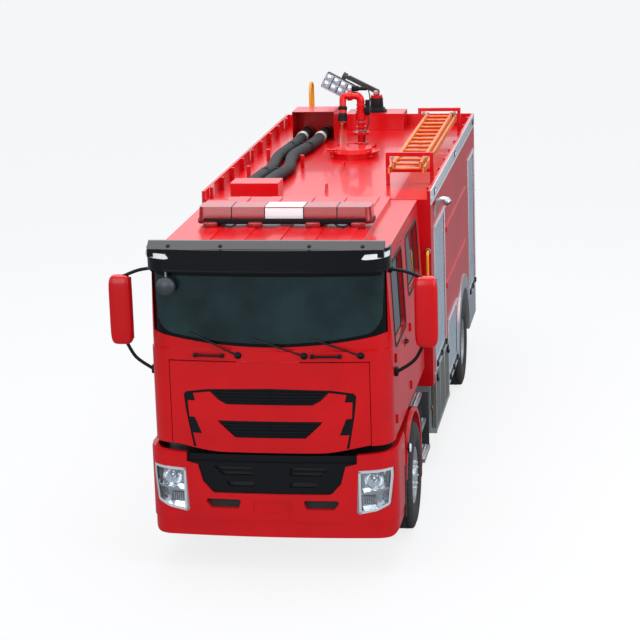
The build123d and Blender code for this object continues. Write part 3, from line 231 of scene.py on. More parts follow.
# finish of each CAD node
NODE_FINISH = {
    "red_enamel": (
        "front_bumper", "front_lid", "cab_front", "cab_sides", "cab_rear", "cab_roof", "front_fenders",
        "left_front_door", "right_front_door", "left_crew_door", "right_crew_door", "equipment_locker",
        "water_tank", "pump_house", "deck_rails", "hose_tray", "ladder_rack", "manhole_lid", "mirrors",
        "monitor_riser", "monitor_head", "monitor_barrel",
    ),
    "black_gelcoat": ("sun_visor",),
    "moulded_plastic": ("lower_grille", "front_grille", "dashboard"),
    "chassis_paint": ("frame_rails", "rear_bumper", "cab_floor", "light_arm", "lamp_head"),
    "cast_grey": ("engine_block", "front_axle", "rear_axle", "left_knuckle", "right_knuckle"),
    "shutter_aluminium": ("roller_shutters",),
    "locker_aluminium": ("side_lockers", "cab_steps", "rear_ladder"),
    "flap_vinyl": ("left_step_flap", "right_step_flap"),
    "screen_glass": (
        "windscreen", "left_front_door_glass", "right_front_door_glass", "left_crew_door_glass",
        "right_crew_door_glass",
    ),
    "lamp_chrome": ("headlamps",),
    "red_lens": ("light_bar",),
    "hose_rubber": ("suction_hoses",),
    "tyre_rubber": ("left_front_tyre", "right_front_tyre", "left_rear_tyre", "right_rear_tyre"),
    "wheel_steel": ("left_front_rim", "right_front_rim", "left_rear_rim", "right_rear_rim"),
    "ladder_orange": ("extension_ladder",),
    "seat_cloth": ("seats",),
}


# ------------------------------------------------------------------ shape helpers
def slab(mesh, low, high, edge=0.002):
    """Box between two corners with softened edges."""
    middle = (low + high) / 2
    size = high - low
    place = Matrix.Translation(middle) @ Matrix.Diagonal((abs(size.x), abs(size.y), abs(size.z), 1))
    made = bmesh.ops.create_cube(mesh, size=1, matrix=place)
    edges = {e for v in made["verts"] for e in v.link_edges}
    soft = min(edge, 0.45 * min(abs(size.x), abs(size.y), abs(size.z)))
    bmesh.ops.bevel(mesh, geom=list(edges), offset=soft, segments=2, affect="EDGES", profile=0.5)


def turn(mesh, profile, centre, axis, steps=32):
    """Ring of (along, radius) points turned about an axis through centre; ends close at radius 0."""
    along = Vector(axis).normalized()
    side = along.orthogonal().normalized()
    up = along.cross(side)
    rings = []
    for offset, radius in profile:
        hub = centre + along * offset
        if radius < 1e-6:
            rings.append([mesh.verts.new(hub)])
            continue
        ring = []
        for step in range(steps):
            angle = 2 * pi * step / steps
            ring.append(mesh.verts.new(hub + (side * cos(angle) + up * sin(angle)) * radius))
        rings.append(ring)
    for first, second in zip(rings, rings[1:]):
        for step in range(steps):
            after = (step + 1) % steps
            if len(first) == 1 and len(second) == 1:
                continue
            if len(first) == 1:
                mesh.faces.new((first[0], second[step], second[after]))
            elif len(second) == 1:
                mesh.faces.new((first[step], second[0], first[after]))
            else:
                mesh.faces.new((first[step], second[step], second[after], first[after]))


def pin(mesh, start, end, radius, steps=16):
    """Round bar between two points with slightly rounded ends."""
    run = end - start
    edge = min(radius * 0.15, run.length / 3)
    turn(mesh, [(0, 0), (0, radius - edge), (edge, radius), (run.length - edge, radius),
                (run.length, radius - edge), (run.length, 0)], start, run, steps)


def smooth_line(points, steps=8):
    """Points on a smooth line through the given ones."""
    ends = [2 * points[0] - points[1], *points, 2 * points[-1] - points[-2]]
    line = []
    for a, b, c, d in zip(ends, ends[1:], ends[2:], ends[3:]):
        for step in range(steps):
            t = step / steps
            line.append(0.5 * (2 * b + (c - a) * t + (2 * a - 5 * b + 4 * c - d) * t * t
                               + (3 * b - a - 3 * c + d) * t * t * t))
    return [*line, points[-1]]


def tube(mesh, line, radius, steps=12):
    """Tube along a line; radius is one size or one for each point."""
    count = len(line)
    sizes = radius if hasattr(radius, "__len__") else [radius] * count
    tangents = []
    for i in range(count):
        tangents.append((line[min(i + 1, count - 1)] - line[max(i - 1, 0)]).normalized())
    side = tangents[0].orthogonal().normalized()
    rings = []
    for point, tangent, size in zip(line, tangents, sizes):
        side = (side - tangent * side.dot(tangent)).normalized()
        up = tangent.cross(side)
        rings.append([mesh.verts.new(point + (side * cos(2 * pi * k / steps) + up * sin(2 * pi * k / steps)) * size)
                      for k in range(steps)])
    for first, second in zip(rings, rings[1:]):
        for k in range(steps):
            mesh.faces.new((first[k], first[(k + 1) % steps], second[(k + 1) % steps], second[k]))
    mesh.faces.new(rings[0][::-1])
    mesh.faces.new(rings[-1])


def prism(mesh, outline, depth):
    """Solid from a flat closed outline of points pushed along a depth vector."""
    front = [mesh.verts.new(p) for p in outline]
    back = [mesh.verts.new(p + depth) for p in outline]
    mesh.faces.new(front)
    mesh.faces.new(back[::-1])
    for i in range(len(outline)):
        j = (i + 1) % len(outline)
        mesh.faces.new((front[j], front[i], back[i], back[j]))


def keep(mesh, name, body, coat, angle=35):
    """Turn a bmesh into a named piece with its finish, riding on a body."""
    bmesh.ops.recalc_face_normals(mesh, faces=mesh.faces)
    data = bpy.data.meshes.new(name)
    mesh.to_mesh(data)
    mesh.free()
    data.polygons.foreach_set("use_smooth", [True] * len(data.polygons))
    data.set_sharp_from_angle(angle=radians(angle))
    data.materials.append(finish(coat))
    piece = bpy.data.objects.new(name, data)
    bpy.context.scene.collection.objects.link(piece)
    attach(piece, body)
    return piece


# ------------------------------------------------------------------ stage
class StageSettings(bpy.types.PropertyGroup):
    """Camera place and light levels."""

    lens: FloatProperty(name="Lens", description="Focal length on a 36 mm sensor, in mm", default=120.3, min=10)
    bearing: FloatProperty(name="Bearing", description="How far the view turns from straight ahead",
                           default=radians(9.31), subtype="ANGLE")
    dip: FloatProperty(name="Dip", description="How far the view looks down", default=radians(14.106),
                       subtype="ANGLE")
    roll: FloatProperty(name="Roll", description="Tilt of the horizon", default=radians(-1.788), subtype="ANGLE")
    place: FloatVectorProperty(name="Camera", description="Camera position", default=(3.633, -23.287, 7.333),
                               subtype="XYZ", unit="LENGTH")
    sky: FloatProperty(name="Sky", description="World light strength", default=0.75, min=0)
    key: FloatProperty(name="Key", description="Power of the large lamp overhead, in watts", default=980.0, min=0)


class FIRETRUCK_OT_stage(bpy.types.Operator):
    """Camera, pale floor, backdrop and soft studio light"""

    bl_idname = "fire_truck.stage"
    bl_label = "Stage"

    def execute(self, context):
        settings = context.scene.fire_truck_stage
        self.camera(context, settings)
        self.floor()
        self.light(context, settings)
        context.scene.view_settings.view_transform = "Standard"
        return {"FINISHED"}

    def camera(self, context, settings):
        """Camera from its bearing, dip and roll."""
        data = bpy.data.cameras.new("camera")
        data.lens = settings.lens
        data.clip_end = 200
        look = Vector((-sin(settings.bearing) * cos(settings.dip), cos(settings.bearing) * cos(settings.dip),
                       -sin(settings.dip)))
        right = Vector((cos(settings.bearing), sin(settings.bearing), 0))
        up = right.cross(look)
        tilted = right * cos(settings.roll) + up * sin(settings.roll)
        upright = up * cos(settings.roll) - right * sin(settings.roll)
        camera = bpy.data.objects.new("camera", data)
        turned = Matrix((tilted, upright, -look)).transposed().to_4x4()
        camera.matrix_world = Matrix.Translation(settings.place) @ turned
        context.scene.collection.objects.link(camera)
        context.scene.camera = camera

    def floor(self):
        """Wide pale floor, round so that no edge shows from any side."""
        mesh = bmesh.new()
        turn(mesh, [(0, 0), (0, 30), (0, 150)], Vector((0, 0, 0)), (0, 0, 1), 64)
        data = bpy.data.meshes.new("floor")
        mesh.to_mesh(data)
        mesh.free()
        data.materials.append(self.paper())
        floor = bpy.data.objects.new("floor", data)
        bpy.context.scene.collection.objects.link(floor)

    def paper(self):
        """Grey-white studio floor: near white to the camera, duller in reflections, and it takes a soft shadow."""
        made = surface("studio_floor", "#B2B5BA", Roughness=0.9)
        tree = made.node_tree
        path = add(tree, "ShaderNodeLightPath")
        mirrored = add(tree, "ShaderNodeMath",
                       {0: path.outputs["Is Glossy Ray"], 1: path.outputs["Is Transmission Ray"]},
                       operation="MAXIMUM")
        shader = tree.nodes["Principled BSDF"].outputs[0]
        for seen, colour, strength, share in ((path.outputs["Is Camera Ray"], "#FFFFFF", 1.13, 0.72),
                                              (mirrored.outputs[0], "#AEB4BE", 0.5, 0.85)):
            glow = add(tree, "ShaderNodeEmission", Color=linear(colour), Strength=strength)
            part = add(tree, "ShaderNodeMath", {0: seen}, operation="MULTIPLY")
            part.inputs[1].default_value = share
            shader = add(tree, "ShaderNodeMixShader", {0: part.outputs[0], 1: shader,
                                                       2: glow.outputs[0]}).outputs[0]
        tree.links.new(shader, tree.nodes["Material Output"].inputs["Surface"])
        return made

    def light(self, context, settings):
        """White world and broad lamps overhead, in front and to the left."""
        world = bpy.data.worlds.new("studio")
        world.use_nodes = True
        tree = world.node_tree
        path = add(tree, "ShaderNodeLightPath")
        level = add(tree, "ShaderNodeMath", {0: path.outputs["Is Camera Ray"]}, operation="MULTIPLY_ADD")
        level.inputs[1].default_value = 1 - settings.sky
        level.inputs[2].default_value = settings.sky
        gloss = add(tree, "ShaderNodeMath", {0: path.outputs["Is Glossy Ray"], 2: level.outputs[0]},
                    operation="MULTIPLY_ADD")
        gloss.inputs[1].default_value = 0.6
        tree.links.new(gloss.outputs[0], tree.nodes["Background"].inputs["Strength"])
        tree.nodes["Background"].inputs["Color"].default_value = linear("#F6F9FF")
        context.scene.world = world
        # lamp, watts as a share of the key, size, place, aimed at
        lamps = (
            ("overhead", 1.0, 9.0, (0.0, -1.0, 11.0), (0.0, 0.0, 3.0)),
            ("front_fill", 0.55, 8.0, (-4.0, -17.0, 6.0), (0.0, -4.0, 1.6)),
            ("left_fill", 0.5, 8.0, (11.0, -9.0, 6.0), (1.2, 0.0, 1.6)),
        )
        for name, share, size, place, aim in lamps:
            data = bpy.data.lights.new(name, "AREA")
            data.energy = settings.key * share
            data.size = size
            lamp = bpy.data.objects.new(name, data)
            lamp.location = place
            lamp.rotation_euler = (Vector(place) - Vector(aim)).to_track_quat("Z", "Y").to_euler()
            context.scene.collection.objects.link(lamp)


class FIRETRUCK_OT_paint(bpy.types.Operator):
    """Give every CAD node its finish"""

    bl_idname = "fire_truck.paint"
    bl_label = "Paint the nodes"

    def execute(self, context):
        for name, nodes in NODE_FINISH.items():
            for node in nodes:
                data = frame["nodes"][node].data
                data.materials.clear()
                data.materials.append(finish(name))
        return {"FINISHED"}


# ------------------------------------------------------------------ tyres and wheels
class WheelSettings(bpy.types.PropertyGroup):
    """Tread and wheel-nut sizes."""

    pitches: IntProperty(name="Tread pitches", description="Shoulder blocks round one tyre", default=64, min=24)
    groove: FloatProperty(name="Groove depth", description="Depth of the tread grooves", default=0.012,
                          unit="LENGTH")
    nuts: IntProperty(name="Wheel nuts", description="Nuts on one wheel", default=10, min=4)
    nut_circle: FloatProperty(name="Nut circle", description="Radius of the nuts' circle", default=0.135,
                              unit="LENGTH")


def tyre_profile(half, radius, bead):
    """(offset, radius, kind) over the tyre from one bead to the other; kind 1 is shoulder block, 2 is groove."""
    wall = [(half - 0.034, bead, 0), (half - 0.014, bead + 0.03, 0), (half - 0.002, bead + 0.085, 0),
            (half - 0.001, bead + 0.13, 0), (half - 0.006, radius - 0.055, 0), (half - 0.012, radius - 0.042, 0),
            (half - 0.014, radius - 0.036, 1), (half - 0.022, radius - 0.012, 1), (half - 0.034, radius - 0.003, 1),
            (half - 0.062, radius - 0.001, 1), (half - 0.064, radius, 2), (half - 0.073, radius, 2),
            (half - 0.075, radius, 0), (0.030, radius, 0), (0.028, radius, 2), (0.019, radius, 2), (0.017, radius, 0)]
    return [(-o, r, k) for o, r, k in wall] + [(o, r, k) for o, r, k in reversed(wall)]


class FIRETRUCK_OT_tyres(bpy.types.Operator):
    """Tyres with walls, grooves and shoulder blocks in place of the plain rings"""

    bl_idname = "fire_truck.tyres"
    bl_label = "Tyres"

    def execute(self, context):
        settings = context.scene.fire_truck_wheels
        for side, _ in SIDES:
            for axle in ("front", "rear"):
                node = f"{side}_{axle}_tyre"
                low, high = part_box(node)
                hub = (low + high) / 2
                radius = (high.z - low.z) / 2
                rows = [hub.x] if axle == "front" else [low.x + 0.15, high.x - 0.15]
                mesh = bmesh.new()
                for x in rows:
                    self.ring(mesh, Vector((x, hub.y, hub.z)), radius, settings)
                piece = keep(mesh, f"{side}_{axle}_tread", f"{side}_{axle}_wheel", "tyre_rubber", 28)
                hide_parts(node)
        return {"FINISHED"}

    def ring(self, mesh, hub, radius, settings):
        """One tyre: the profile turned in steps, with cross grooves between the shoulder blocks."""
        profile = tyre_profile(0.15, radius, 0.286)
        steps = settings.pitches * 4
        rings = []
        for offset, height, kind in profile:
            ring = []
            for step in range(steps):
                cut = settings.groove if kind == 2 or (kind == 1 and step % 4 == 0) else 0
                angle = 2 * pi * (step + 0.6 * (kind == 1)) / steps
                ring.append(mesh.verts.new(hub + Vector((offset, sin(angle) * (height - cut),
                                                         cos(angle) * (height - cut)))))
            rings.append(ring)
        for first, second in zip(rings, rings[1:] + rings[:1]):
            for step in range(steps):
                after = (step + 1) % steps
                mesh.faces.new((first[step], second[step], second[after], first[after]))


class FIRETRUCK_OT_wheel_nuts(bpy.types.Operator):
    """Wheel nuts and studs on each wheel"""

    bl_idname = "fire_truck.wheel_nuts"
    bl_label = "Wheel nuts"

    def execute(self, context):
        settings = context.scene.fire_truck_wheels
        for side, sign in SIDES:
            for axle in ("front", "rear"):
                low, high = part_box(f"{side}_{axle}_rim")
                hub = (low + high) / 2
                face = 1.18 if axle == "front" else 0.924
                mesh = bmesh.new()
                for nut in range(settings.nuts):
                    angle = 2 * pi * nut / settings.nuts
                    seat = Vector((sign * face, hub.y + settings.nut_circle * sin(angle),
                                   hub.z + settings.nut_circle * cos(angle)))
                    turn(mesh, [(-0.004, 0.026), (0.005, 0.026), (0.007, 0.021), (0.032, 0.021), (0.035, 0.017),
                                (0.035, 0.011), (0.05, 0.011), (0.052, 0)], seat, (sign, 0, 0), 6)
                keep(mesh, f"{side}_{axle}_nuts", f"{side}_{axle}_wheel", "lamp_silver")
        return {"FINISHED"}


# ------------------------------------------------------------------ bowed faces of the cab and bumper
# plan of each bowed face: station at its centre, half width, bow and corner radius
FACES = {"bumper": (0, 1200, 60, 220), "lid": (30, 1160, 75, 230), "cab": (75, 1160, 75, 230),
         "visor": (12, 1158, 75, 200)}


def skin(face, x, inset=0.0):
    """Station of a bowed face at an x, set in from its surface."""
    start, half, bow, corner = FACES[face]
    start, half, corner = start + inset, half - inset, corner - inset
    bend = (half * half + bow * bow) / (2 * bow)
    reach = half - corner
    across = min(abs(x), half - 0.2)
    if across <= reach * bend / (bend - corner):
        return start + bend - sqrt(bend * bend - across * across)
    centre = bend - sqrt((bend - corner) ** 2 - reach * reach)
    return start + centre - sqrt(corner * corner - (across - reach) ** 2)


def wrap(mesh, face, columns, inset, thick, pitch=30):
    """Panel that follows a bowed face; columns hold (x, low, high) from one end to the other."""
    rings = []
    for first, second in zip(columns, columns[1:]):
        steps = max(1, ceil(abs(second[0] - first[0]) / pitch))
        for step in range(steps + (second is columns[-1])):
            x, low, high = (a + (b - a) * step / steps for a, b in zip(first, second))
            outer, inner = skin(face, x, inset), skin(face, x, inset + thick)
            rings.append([mesh.verts.new(at(x, outer, low)), mesh.verts.new(at(x, outer, high)),
                          mesh.verts.new(at(x, inner, high)), mesh.verts.new(at(x, inner, low))])
    for first, second in zip(rings, rings[1:]):
        for k in range(4):
            mesh.faces.new((first[k], first[(k + 1) % 4], second[(k + 1) % 4], second[k]))
    mesh.faces.new(rings[0][::-1])
    mesh.faces.new(rings[-1])


def flank(z):
    """X of the cab's left side at a height: upright to the belt, then leaning in to the eaves."""
    return 1160 - 45 * max(0.0, (z - 2100) / 920)


def rounded(low, high, radius, steps=5):
    """Closed outline of a rectangle with round corners, as (a, b) pairs."""
    corners = ((high[0] - radius, high[1] - radius, 0), (low[0] + radius, high[1] - radius, 90),
               (low[0] + radius, low[1] + radius, 180), (high[0] - radius, low[1] + radius, 270))
    return [(a + radius * cos(radians(turn_from + 90 * k / steps)),
             b + radius * sin(radians(turn_from + 90 * k / steps)))
            for a, b, turn_from in corners for k in range(steps + 1)]


def border(mesh, outer, inner, place, depth):
    """Ring between two outlines of equal count; place turns an (a, b) pair into a point."""
    rows = [[mesh.verts.new(place(*p) + lift) for p in line]
            for line, lift in ((outer, depth), (inner, depth), (inner, depth * 0), (outer, depth * 0))]
    count = len(outer)
    for first, second in zip(rows, rows[1:] + rows[:1]):
        for k in range(count):
            mesh.faces.new((first[k], first[(k + 1) % count], second[(k + 1) % count], second[k]))


# ------------------------------------------------------------------ head lamps
class FIRETRUCK_OT_head_lamps(bpy.types.Operator):
    """Lenses, bulbs and fluted lower lamps in the bumper's corners"""

    bl_idname = "fire_truck.head_lamps"
    bl_label = "Head lamps"

    def execute(self, context):
        lenses, bulbs, flutes, ambers, bays, frames = (bmesh.new() for _ in range(6))
        for _, sign in SIDES:
            columns = [(854, 608, 993), (998, 640, 1003), (1106, 690, 1012), (1134, 950, 1014)]
            wrap(lenses, "bumper", [(sign * x, low, high) for x, low, high in columns], 9, 3)
            for strip in ([(834, 990, 1014), (998, 1001, 1025), (1106, 1010, 1034), (1156, 1014, 1036)],
                          [(834, 584, 606), (854, 588, 610), (998, 618, 642), (1106, 668, 692)],
                          [(834, 586, 1012), (856, 590, 1012)],
                          [(1106, 668, 692), (1128, 684, 894), (1134, 741, 950), (1134.5, 745, 1034),
                           (1156, 948, 1036)]):
                wrap(frames, "bumper", [(sign * x, low, high) for x, low, high in strip], -4, 8, 12)
            centre = at(sign * 975, 84, 918)
            turn(bulbs, [(0, 0.003), (0.004, 0.022), (0.012, 0.027), (0.02, 0.024), (0.03, 0.02), (0.05, 0.02)],
                 centre, (0, 1, 0), 24)
            # dark bays of painted shade behind the lower lamps, so that their reflectors stand out
            for x0, x1, z0, z1 in ((862, 986, 662, 752), (1010, 1100, 700, 776)):
                bay_x = sorted((sign * x0, sign * x1))
                deep = max(skin("bumper", x0, 72), skin("bumper", x1, 72)) - 4
                slab(bays, at(bay_x[0], deep - 6, z0), at(bay_x[1], deep, z1), 0.001)
                for k in range(6):
                    x = sign * (x0 + 10 + (x1 - x0 - 20) * k / 5)
                    pin(flutes if x0 < 1000 else ambers, at(x, deep - 8, z0 + 8), at(x, deep - 8, z1 - 8), 0.0085,
                        10)
        keep(lenses, "head_lamp_lenses", "chassis", "clear_lens", 50)
        keep(frames, "head_lamp_frames", "chassis", "lamp_silver", 50)
        keep(bulbs, "head_lamp_bulbs", "chassis", "lamp_chrome")
        keep(flutes, "fluted_reflectors", "chassis", "lamp_chrome")
        keep(ambers, "turn_lamp_reflectors", "chassis", "smoke_lens")
        # the bays are painted shade, not a moulding of the lamp
        keep(bays, "lower_lamp_shade_bays", "chassis", "lamp_shadow")
        return {"FINISHED"}


# ------------------------------------------------------------------ windscreen, wipers and handles
class ScreenSettings(bpy.types.PropertyGroup):
    """Windscreen border and wiper sizes."""

    frit: FloatProperty(name="Border", description="Width of the black border round the windscreen, in mm",
                        default=34, min=5)
    corner: FloatProperty(name="Border corner", description="Radius inside the border's lower corners, in mm",
                          default=170, min=20)
    wiper: FloatProperty(name="Wiper reach", description="How far a wiper lies across the screen, in mm",
                         default=490, min=100)


def screen_low(x):
    """Height of the windscreen's lower edge."""
    bend = (1120 ** 2 + 130 ** 2) / 260
    return 2200 + bend - sqrt(bend * bend - x * x)


class FIRETRUCK_OT_screen(bpy.types.Operator):
    """Black border of the windscreen, three wipers and the two grab handles under it"""

    bl_idname = "fire_truck.screen"
    bl_label = "Windscreen trim"

    def execute(self, context):
        settings = context.scene.fire_truck_screen
        self.border(settings)
        self.wipers(settings)
        self.handles()
        return {"FINISHED"}

    def border(self, settings):
        mesh = bmesh.new()
        inner = 1118 - settings.frit
        start = inner - settings.corner
        columns = []
        for x in [*range(-1118, 1118, 22), 1118]:
            rise = abs(x) - start
            if abs(x) >= inner:
                high = 2928
            else:
                high = screen_low(x) + settings.frit
                high += settings.corner - sqrt(settings.corner ** 2 - rise ** 2) if rise > 0 else 0
            columns.append((x, screen_low(x) + 1, high))
        wrap(mesh, "cab", columns, 9.5, 2.4)
        wrap(mesh, "cab", [(-inner, 2880, 2928), (inner, 2880, 2928)], 9.5, 2.4)
        keep(mesh, "windscreen_border", "cab", "ceramic_frit", 60)

    def wipers(self, settings):
        arms, blades = bmesh.new(), bmesh.new()
        for pivot in (-280, 350, 880):
            base = skin("lid", pivot)
            tip = pivot - settings.wiper
            top = screen_low(tip) + 78

            def glass(share, off):
                x = tip + (pivot - tip) * share
                return at(x, skin("cab", x, 12) - off, top + (2134 - top) * share)

            turn(arms, [(0.0, 0.026), (0.014, 0.026), (0.024, 0.02), (0.028, 0.011), (0.029, 0)],
                 at(pivot, base, 2134), (0, -1, 0), 20)
            turn(arms, [(0.0, 0.034), (0.008, 0.034), (0.009, 0.026)], at(pivot, base, 2134), (0, -1, 0), 20)
            line = smooth_line([at(pivot, base - 18, 2134), glass(0.84, 56), glass(0.62, 42), glass(0.3, 26)], 5)
            tube(arms, line, [0.012 - 0.006 * i / (len(line) - 1) for i in range(len(line))], 8)
            tube(blades, smooth_line([glass(s, 13) for s in (0.0, 0.15, 0.3, 0.45, 0.56)], 4), 0.0058, 8)
            tube(blades, smooth_line([glass(s, 4) for s in (0.0, 0.15, 0.3, 0.45, 0.56)], 4), 0.0034, 6)
            for share in (0.1, 0.3, 0.5):
                pin(blades, glass(share, 4), glass(share, 26 if share == 0.3 else 16), 0.006, 8)
        keep(arms, "wiper_arms", "cab", "moulded_plastic")
        keep(blades, "wiper_blades", "cab", "seal_rubber")

    def handles(self):
        mesh = bmesh.new()
        for x0, x1 in ((-711, -416), (408, 700)):
            z = 2131
            ends = [at(x, skin("lid", x) - 24, z) for x in (x0 + 12, (x0 + x1) / 2, x1 - 12)]
            tube(mesh, smooth_line(ends, 6), 0.0115, 12)
            for x in (x0 + 18, x1 - 18):
                face = skin("lid", x)
                slab(mesh, at(x - 20, face - 37, z - 19), at(x + 20, face + 1, z + 19), 0.009)
        keep(mesh, "grab_handles", "cab", "moulded_plastic")


# ------------------------------------------------------------------ visor, lamps on it, mirrors
class FIRETRUCK_OT_visor(bpy.types.Operator):
    """Bolts, crease and the white marker lamps of the sun visor"""

    bl_idname = "fire_truck.visor"
    bl_label = "Sun visor trim"

    def execute(self, context):
        lamps, bolts, lip = bmesh.new(), bmesh.new(), bmesh.new()
        for _, sign in SIDES:
            columns = [(916, 3060, 3066), (944, 3054, 3100), (1100, 3062, 3110), (1156, 3068, 3112)]
            wrap(lamps, "visor", [(sign * x, low, high) for x, low, high in columns], -18, 19, 12)
            for x in (420, 920):
                slope = Vector((0, -65, 80))
                turn(bolts, [(0, 0.021), (0.003, 0.021), (0.004, 0.013), (0.009, 0.012), (0.01, 0)],
                     at(sign * x, 100, 3169), slope, 18)
        # rolled upper edge of the face, and the return along its lower edge
        wrap(lip, "visor", [(-1150, 3136, 3146), (1150, 3136, 3146)], -7, 12, 25)
        wrap(lip, "visor", [(-1150, 2931, 2944), (1150, 2931, 2944)], -7, 12, 25)
        wrap(lip, "visor", [(-900, 3030, 3034), (900, 3030, 3034)], -2, 4, 25)
        keep(lamps, "visor_marker_lamps", "cab", "white_lens", 50)
        keep(bolts, "visor_bolts", "cab", "moulded_plastic")
        keep(lip, "visor_edges", "cab", "black_gelcoat", 50)
        return {"FINISHED"}


MIRROR_X, MIRROR_STATION = 1470, 363
MIRROR_Z, MIRROR_HALF = 2490, 340   # middle of a mirror housing and half its height
MIRROR_SPREAD = 0.999               # how its rings spread from the middle: 1 is a plain sine


class MirrorSettings(bpy.types.PropertyGroup):
    """Mirror housing shape."""

    squareness: FloatProperty(name="Squareness", description="Corner shape of the housing: 2 is round, 8 is square",
                              default=4.2, min=2, max=12)


class FIRETRUCK_OT_mirrors(bpy.types.Operator):
    """Mirror housings, glasses and arms, and the round close-view mirror"""

    bl_idname = "fire_truck.mirrors"
    bl_label = "Mirrors"

    def execute(self, context):
        power = 2 / context.scene.fire_truck_mirrors.squareness
        housings, arms, bezels, glasses = (bmesh.new() for _ in range(4))
        for _, sign in SIDES:
            self.housing(housings, sign, power)
            slab(bezels, at(sign * MIRROR_X - 98, 422, 2186), at(sign * MIRROR_X + 98, 432, 2794), 0.012)
            slab(glasses, at(sign * MIRROR_X - 84, 430, 2330), at(sign * MIRROR_X + 84, 434, 2780), 0.002)
            slab(glasses, at(sign * MIRROR_X - 84, 430, 2200), at(sign * MIRROR_X + 84, 434, 2312), 0.002)
            for line in ([(1142, 2900), (1290, 2874), (1446, 2812)],
                         [(1166, 1900), (1220, 1925), (1352, 2022), (1440, 2176)]):
                points = [at(sign * x, 365, z) for x, z in line]
                tube(arms, smooth_line(points, 6), 0.0165, 12)
            slab(arms, at(sign * 1141 - 20, 325, 2868), at(sign * 1141 + 20, 405, 2934), 0.012)
            slab(arms, at(sign * 1178 - 18, 325, 1862), at(sign * 1178 + 18, 405, 1948), 0.014)
        housing = keep(housings, "mirror_housings", "cab", "red_enamel", 60)
        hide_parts("mirrors")
        keep(arms, "mirror_arms", "cab", "moulded_plastic")
        keep(bezels, "mirror_bezels", "cab", "moulded_plastic")
        keep(glasses, "mirror_glasses", "cab", "mirror_glass")
        self.close_view()
        return {"FINISHED"}

    def housing(self, mesh, sign, power):
        """Tall shell: squared ovals stacked from foot to crown."""
        rings = []
        for step in range(25):
            t = -1 + 2 * step / 24
            height = MIRROR_Z + MIRROR_HALF * (1 if t > 0 else -1) * abs(sin(t * pi / 2)) ** MIRROR_SPREAD
            share = max(0.02, max(0.0, 1 - abs((height - MIRROR_Z) / MIRROR_HALF) ** 7) ** (1 / 3.2))
            ring = []
            for k in range(36):
                c, s = cos(2 * pi * k / 36), sin(2 * pi * k / 36)
                x = 110 * share ** 0.6 * (1 if c > 0 else -1) * abs(c) ** power
                y = 67 * share ** 0.7 * (1 if s > 0 else -1) * abs(s) ** (power * 1.25)
                ring.append(mesh.verts.new(at(sign * MIRROR_X + x, MIRROR_STATION + y, height)))
            rings.append(ring)
        for first, second in zip(rings, rings[1:]):
            for k in range(36):
                mesh.faces.new((first[k], first[(k + 1) % 36], second[(k + 1) % 36], second[k]))
        mesh.faces.new(rings[0][::-1])
        mesh.faces.new(rings[-1])

    def close_view(self):
        """Round mirror under the visor's right end, its back to the front."""
        shell, glass, stem = bmesh.new(), bmesh.new(), bmesh.new()
        hub = at(-950, 34, 2790)
        turn(shell, [(-0.024, 0), (-0.022, 0.03), (-0.012, 0.062), (0.008, 0.086), (0.03, 0.092), (0.04, 0.09)],
             hub, (0, 1, 0), 36)
        turn(glass, [(0.04, 0.09), (0.05, 0.06), (0.055, 0.03), (0.057, 0)], hub, (0, 1, 0), 36)
        tube(stem, smooth_line([at(-950, 76, 2928), at(-950, 76, 2880), at(-950, 66, 2850), at(-950, 50, 2800)], 5),
             0.0098, 12)
        keep(shell, "close_mirror_shell", "cab", "grey_moulding", 60)
        keep(glass, "close_mirror_glass", "cab", "mirror_glass", 60)
        keep(stem, "close_mirror_stem", "cab", "zinc")


# ------------------------------------------------------------------ doors
class FIRETRUCK_OT_doors(bpy.types.Operator):
    """Window seals, door handles and hinges of the cab doors"""

    bl_idname = "fire_truck.doors"
    bl_label = "Door trim"

    def execute(self, context):
        # door: window front, window rear, window low, handle station, hinge station
        rows = (("front_door", 490, 1325, 2120, 1310, 428), ("crew_door", 1680, 2640, 2330, 2630, 1612))
        for side, sign in SIDES:
            for name, front, rear, low, handle, hinge in rows:
                body = f"{side}_{name}"

                def place(station, z):
                    return at(sign * (flank(z) - 1), station, z)

                seals, grips, hinges = bmesh.new(), bmesh.new(), bmesh.new()
                border(seals, rounded((front - 24, low - 24), (rear + 24, 2924), 82),
                       rounded((front + 6, low + 6), (rear - 6, 2894), 56), place, Vector((sign * 0.006, 0, 0)))
                # pull handle in its dished plate
                x = sign * 1160
                slab(grips, at(x - 3, handle - 150, 1935), at(x + 3, handle - 10, 2005), 0.0025)
                tube(grips, smooth_line([at(x + sign * 3, handle - 140, 1970), at(x + sign * 24, handle - 122, 1970),
                                         at(x + sign * 28, handle - 80, 1970), at(x + sign * 24, handle - 38, 1970),
                                         at(x + sign * 3, handle - 20, 1970)], 4), 0.0095, 10)
                turn(grips, [(0, 0.012), (0.004, 0.012), (0.005, 0)], at(x + sign * 2, handle - 24, 1948),
                     (sign, 0, 0), 16)
                for z in (1420, 2020):
                    pin(hinges, at(x + sign * 8, hinge, z - 45), at(x + sign * 8, hinge, z + 45), 0.011, 14)
                    slab(hinges, at(x - 2, hinge + 2, z - 34), at(x + sign * 5, hinge + 70, z + 34), 0.002)
                keep(seals, f"{body}_seal", body, "seal_rubber", 50)
                keep(grips, f"{body}_handle", body, "moulded_plastic")
                keep(hinges, f"{body}_hinges", body, "red_enamel")
        return {"FINISHED"}


# ------------------------------------------------------------------ light bar
BAR_FRONT, BAR_REAR, BAR_TOP = 1178, 1462, 3324


class LightBarSettings(bpy.types.PropertyGroup):
    """Light bar segments."""

    white: FloatProperty(name="White segment", description="Half width of the white middle segment, in mm",
                         default=192, min=40)


